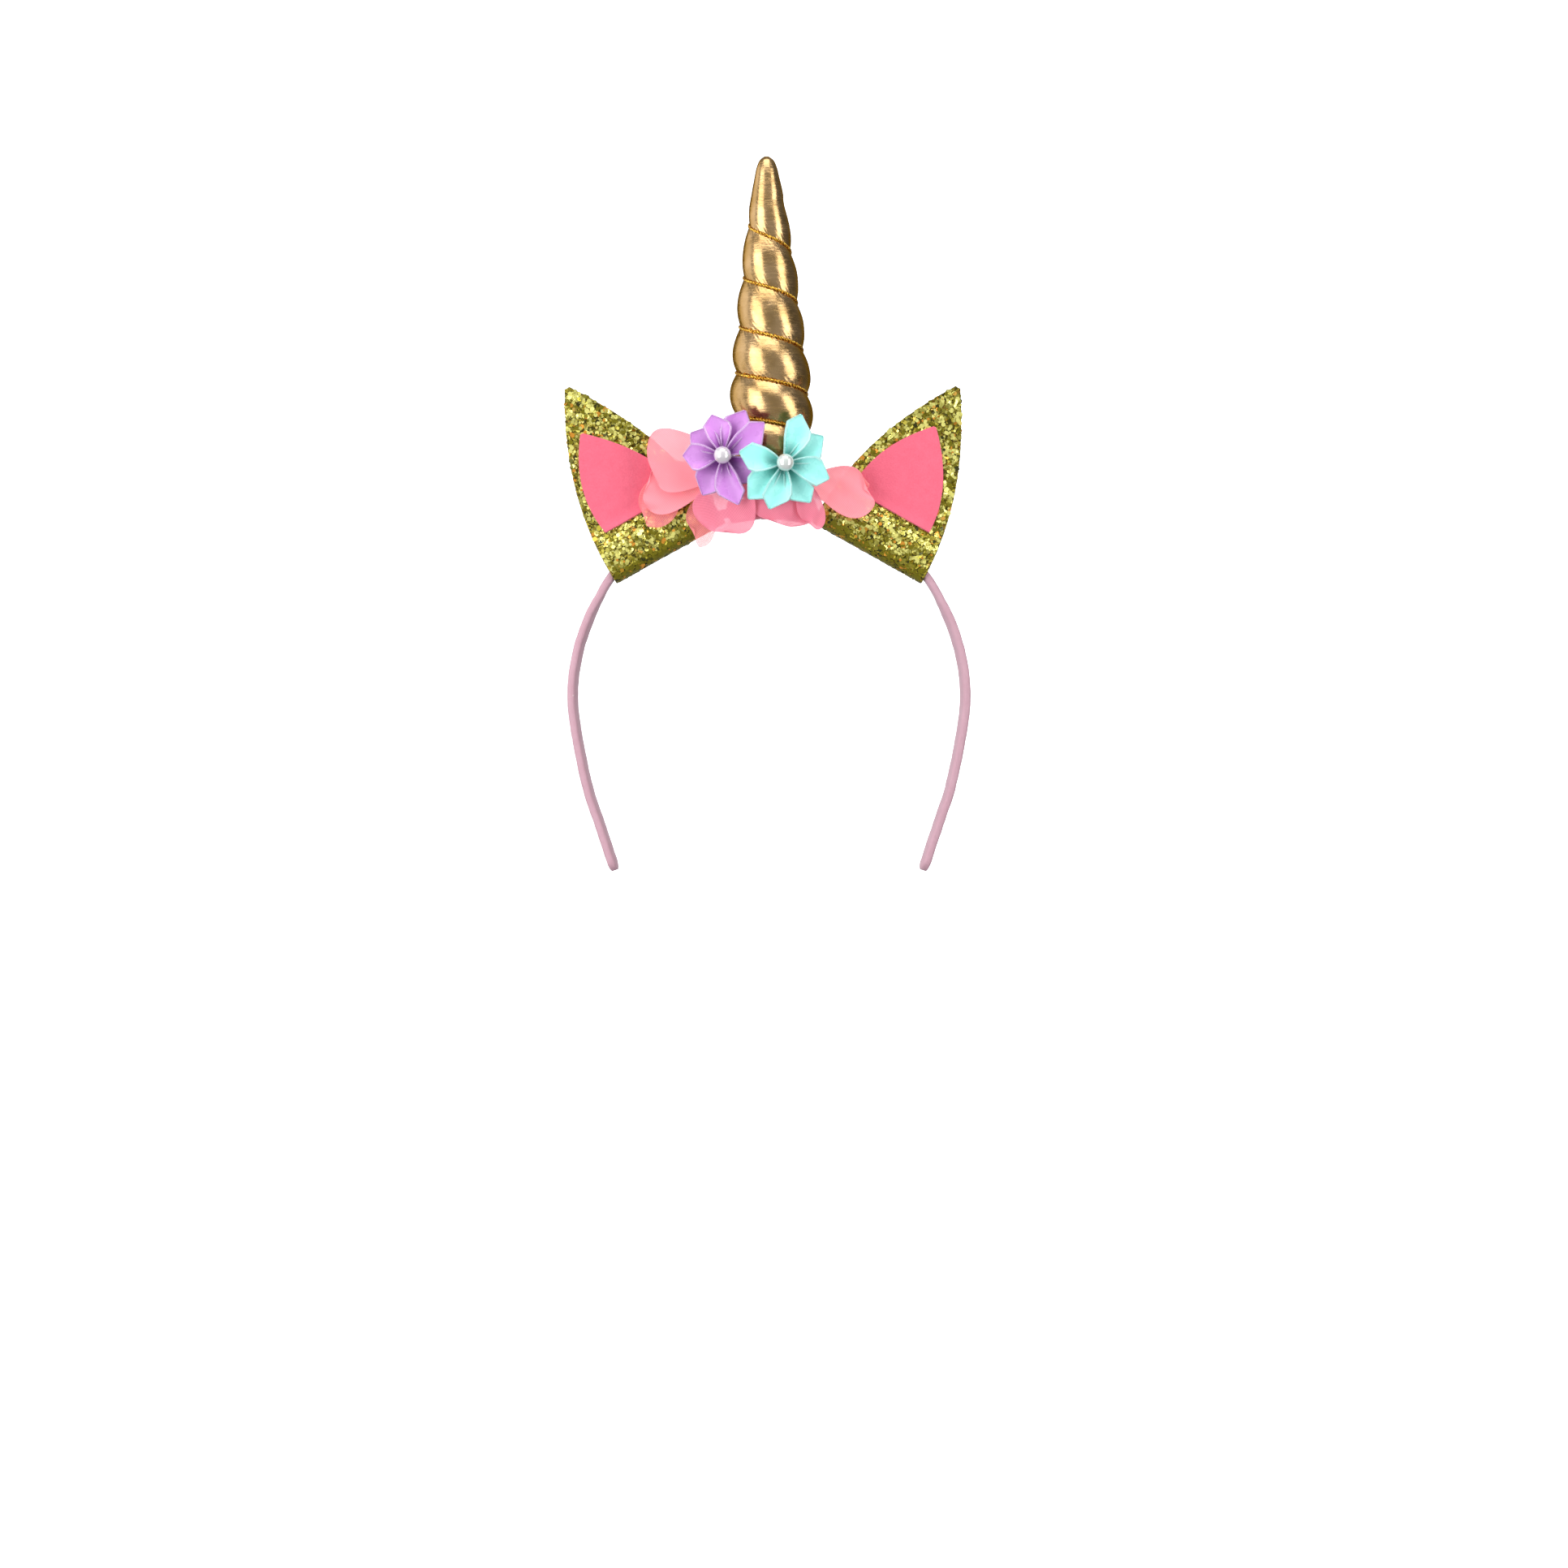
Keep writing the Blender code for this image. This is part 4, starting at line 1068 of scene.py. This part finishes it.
for name, across, up, angle, long_share, wide_share, layer, belly, square, slant, look in CHIFFON_TABLE:
    dice = np.random.default_rng(int(angle))
    turn = math.radians(angle)
    ahead = np.array([math.cos(turn), 0.0, math.sin(turn)])
    beside = np.array([-math.sin(turn), 0.0, math.cos(turn)])
    root = np.array([HORN_OFFSET + across * HORN_RADIUS, 0.0, HORN_FOOT + up * HORN_RADIUS])
    length, half = CHIFFON_LENGTH * long_share, CHIFFON_WIDTH * wide_share / 2
    step = 1 - (1 - np.linspace(0, 1, 60)) ** 1.6
    a = (0.10 + 0.888 * step)[:, None]
    b = np.linspace(-1, 1, 44)[None]
    wide = half * np.sin(math.pi * a ** belly) ** square
    reach = length * a * (1 + slant * b) - 0.06 * length * a ** 6 * b ** 2
    points = root + reach[..., None] * ahead + (wide * b)[..., None] * beside
    curl = CURL * np.maximum(b ** 2, a ** 4) ** 3 * dice.uniform(0.2, 1.0)
    flutter = FLUTTER * ripple_sum(ripples(int(angle) + 1, 6, 2, 6), a * 2, b * 1.4) * a
    points[..., 1] = -drape_depth(points[..., 0], points[..., 2], layer) - curl + flutter
    petal = thicken(skin(f"sheer_{name[8:]}", points, look), SHEER_WALL)
    settle(petal, "pink_chiffon", name)
    max(2 * half, 10 * MM)
    2 * max(half, 5 * MM) * length * 0.72
print("Sheer petals:", len(CHIFFON_TABLE))

# %% [markdown]
# ## Ribbon flowers
#
# Each flower petal is a length of satin ribbon, folded back at its tip and gathered at its root.
# The fold gives a right-angled tip, which sits a little to one side in most of them.
# Simulated ribbon would need its hidden stitches, so the cup of each petal comes from a short table.

# %% Petal tables

# angle, length share, skew of the tip
LILAC_PETALS = (
    (30, 1.12, 0.55), (70, 1.08, -0.30), (100, 0.92, 0.35), (138, 0.90, 0.40),
    (183, 0.90, -0.20), (232, 0.96, 0.45), (279, 1.10, 0.50), (322, 0.80, -0.30),
)
MINT_PETALS = (
    (65, 1.12, 0.35), (27, 1.06, 0.45), (-13, 1.04, -0.30), (-61, 1.02, 0.40),
    (-102, 1.04, -0.35), (-141, 1.08, 0.40), (-188, 1.00, -0.30),
)

# length share, half width share, depth of the cup in millimetres
PETAL_LINE = (
    (0.00, 0.28, 2.0), (0.14, 0.50, 3.1), (0.34, 0.80, 2.8), (0.54, 0.98, 1.9),
    (0.72, 0.97, 1.2), (0.86, 0.52, 0.7), (1.00, 0.03, 0.3),
)
print("Ribbon petals:", len(LILAC_PETALS) + len(MINT_PETALS))

# %% [markdown]
# ## Ribbon satin
#
# Ribbon satin is denser than the strip's cover and shines more.
# Painted shade darkens it toward the gathered root, where little light reaches, and along the middle of its
# cup, and a painted highlight lightens it along its raised woven edge.
# The edge carries a row of tiny loops, made in the bump from the distance along the ribbon.

# %% Ribbon look

def ribbon_look(name, shade_colour, light_colour):
    look = Look(name, Specular_IOR_Level=0.6, Sheen_Weight=0.3, Sheen_Roughness=0.3, Anisotropic=0.5)
    u, v = look.flat()
    threads = u.wave(0.30) * 0.5 + v.wave(0.40) * 0.5
    cloud = look.noise(look.place(), 260.0, 2.0)
    edge = v.maths("ABSOLUTE").between(0.43 * RIBBON_WIDTH / MM, 0.47 * RIBBON_WIDTH / MM)
    # The root and the middle of the cup are painted darker, as shade where little light reaches.
    painted_light_off_middle = v.maths("ABSOLUTE").between(0.05 * RIBBON_WIDTH / MM, 0.36 * RIBBON_WIDTH / MM)
    painted_light_past_root = u.between(1.0, 8.0)
    tone = look.mix(painted_light_past_root * 0.70 + cloud * 0.20 + painted_light_off_middle * 0.15, shade_colour, light_colour)
    # The pale edge colour is a painted highlight along the raised picot rim, broken by its loops.
    edge_highlight_colour = tuple(0.55 * part + 0.45 for part in light_colour)
    look.shade(Base_Color=look.mix(edge * (0.35 + u.wave(0.75) * 0.45), tone, edge_highlight_colour))
    look.shade(Roughness=cloud.between(0.3, 0.7, 0.22, 0.36))
    look.bump(threads * 0.4 + edge * u.wave(0.75) * 1.4, 0.08 * MM)
    return look
print("Ribbon width:", RIBBON_WIDTH / MM, "mm")

# %% [markdown]
# ## Folded ribbon
#
# Both layers of a petal are one grid: out along its front, over the tip and back behind.
# The sides rise toward the wearer's front, most near the root, so that neighbours press together.

# %% Petal shape

BACK_LAYER_GAP = 0.40 * MM
BACK_LAYER_WIDER = 0.30 * MM
RIBBON_WALL = 0.2 * MM


def petal_points(angle, share, skew, lift, right, front, centre):
    """The folded ribbon of one petal: its front face, then its back face from tip to root."""
    turn = math.radians(angle)
    length = PETAL_LENGTH * share - PETAL_ROOT
    a = np.linspace(0.0, 1.0, 40)
    heads, halves, cups = zip(*PETAL_LINE)
    half = RIBBON_WIDTH / 2 * np.interp(a, heads, halves)
    cup = MM * np.interp(a, heads, cups)
    slide = skew * RIBBON_WIDTH / 2 * np.clip((a - 0.55) / 0.45, 0, 1)
    b = np.linspace(-1, 1, 24)
    layers = []
    for behind, wider in ((0.0, 0.0), (BACK_LAYER_GAP, BACK_LAYER_WIDER)):
        reach = PETAL_ROOT + length * a[:, None] + 0 * b
        across = (half + wider)[:, None] * b + slide[:, None]
        rise = cup[:, None] * np.abs(b) ** 2.6 - behind + 0.35 * MM * np.sin(math.pi * a)[:, None]
        x = reach * math.cos(turn) - across * math.sin(turn)
        z = reach * math.sin(turn) + across * math.cos(turn)
        spots = centre + x[..., None] * right + (lift + rise)[..., None] * front
        spots[..., 2] += z
        layers.append(spots)
    return np.concatenate([layers[0], layers[1][::-1]])


def pearl_points(centre, right, front, radius):
    polar = np.linspace(0.02, math.pi - 0.02, 40)[:, None]
    angle = np.linspace(0, 2 * math.pi, 64, endpoint=False)[None]
    up = np.array([0.0, 0.0, 1.0])
    return centre + radius * ((np.sin(polar) * np.cos(angle))[..., None] * right
                              + (np.sin(polar) * np.sin(angle))[..., None] * up
                              + (np.cos(polar) + 0 * angle)[..., None] * front)
print("Petal length:", PETAL_LENGTH / MM, "mm")

# %% [markdown]
# ## Two flowers
#
# The lilac flower has eight petals and the mint one seven, in two alternating levels.
# A pearl bead hides the gathered roots. Its nacre is part metal and part varnish,
# so it keeps a grey body and a sharp highlight.

# %% Flowers

RIBBON_ROOM = 0.45 * MM  # for the layers under the pearl
# prefix, petals, turn about the vertical, colours of the painted shade at the root and fold, of the open
# ribbon in light, and of the bead
FLOWERS = (
    ("lilac", LILAC_PETALS, 9.0, (0.21, 0.045, 0.29), (0.63, 0.25, 0.70), (0.66, 0.58, 0.66)),
    ("mint", MINT_PETALS, -10.0, (0.045, 0.31, 0.27), (0.38, 0.94, 0.87), (0.60, 0.70, 0.64)),
)
for prefix, petals, facing, shadow, light, bead in FLOWERS:
    turn = math.radians(facing)
    right = np.array([math.cos(turn), -math.sin(turn), 0.0])
    front = np.array([-math.sin(turn), -math.cos(turn), 0.0])
    low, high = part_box(f"{prefix}_pearl")
    pearl_centre = np.array((low + high) / 2)
    nest = math.sqrt((PEARL_DIAMETER / 2) ** 2 - PETAL_ROOT ** 2)
    rise = nest + PETAL_STEP + GAP + RIBBON_ROOM
    centre = pearl_centre - front * rise
    ribbon = ribbon_look(f"{prefix}_ribbon", shadow, light)
    for number, (angle, share, skew) in enumerate(petals, start=1):
        grid = petal_points(angle, share, skew, PETAL_STEP * (number % 2), right, front, centre)
        petal = skin(f"{prefix}_ribbon_{number}", grid, ribbon, ribbon=RIBBON_WIDTH)
        thicken(petal, RIBBON_WALL)
        settle(petal, f"{prefix}_ribbon", f"{prefix}_petal_{number}")
        2 * PETAL_LENGTH * share
        RIBBON_WIDTH * 2 * PETAL_LENGTH * share * 0.75
    pearl_look = Look(f"{prefix}_pearl", Metallic=0.35, Roughness=0.24, Coat_Weight=1.0, Coat_Roughness=0.05,
                      Sheen_Weight=0.3, Sheen_Roughness=0.3, Specular_IOR_Level=0.7)
    swirl = pearl_look.noise(pearl_look.place(), 300.0, 2.0)
    pearl_look.shade(Base_Color=pearl_look.mix(swirl, bead, (0.80, 0.78, 0.76)))
    pearl_look.bump(swirl, 0.02 * MM)
    pearl = skin(f"{prefix}_bead", pearl_points(pearl_centre, right, front, PEARL_DIAMETER / 2), pearl_look,
                 closed=True, caps=True)
    settle(pearl, "pearl", f"{prefix}_pearl")
print("Flowers:", len(FLOWERS))
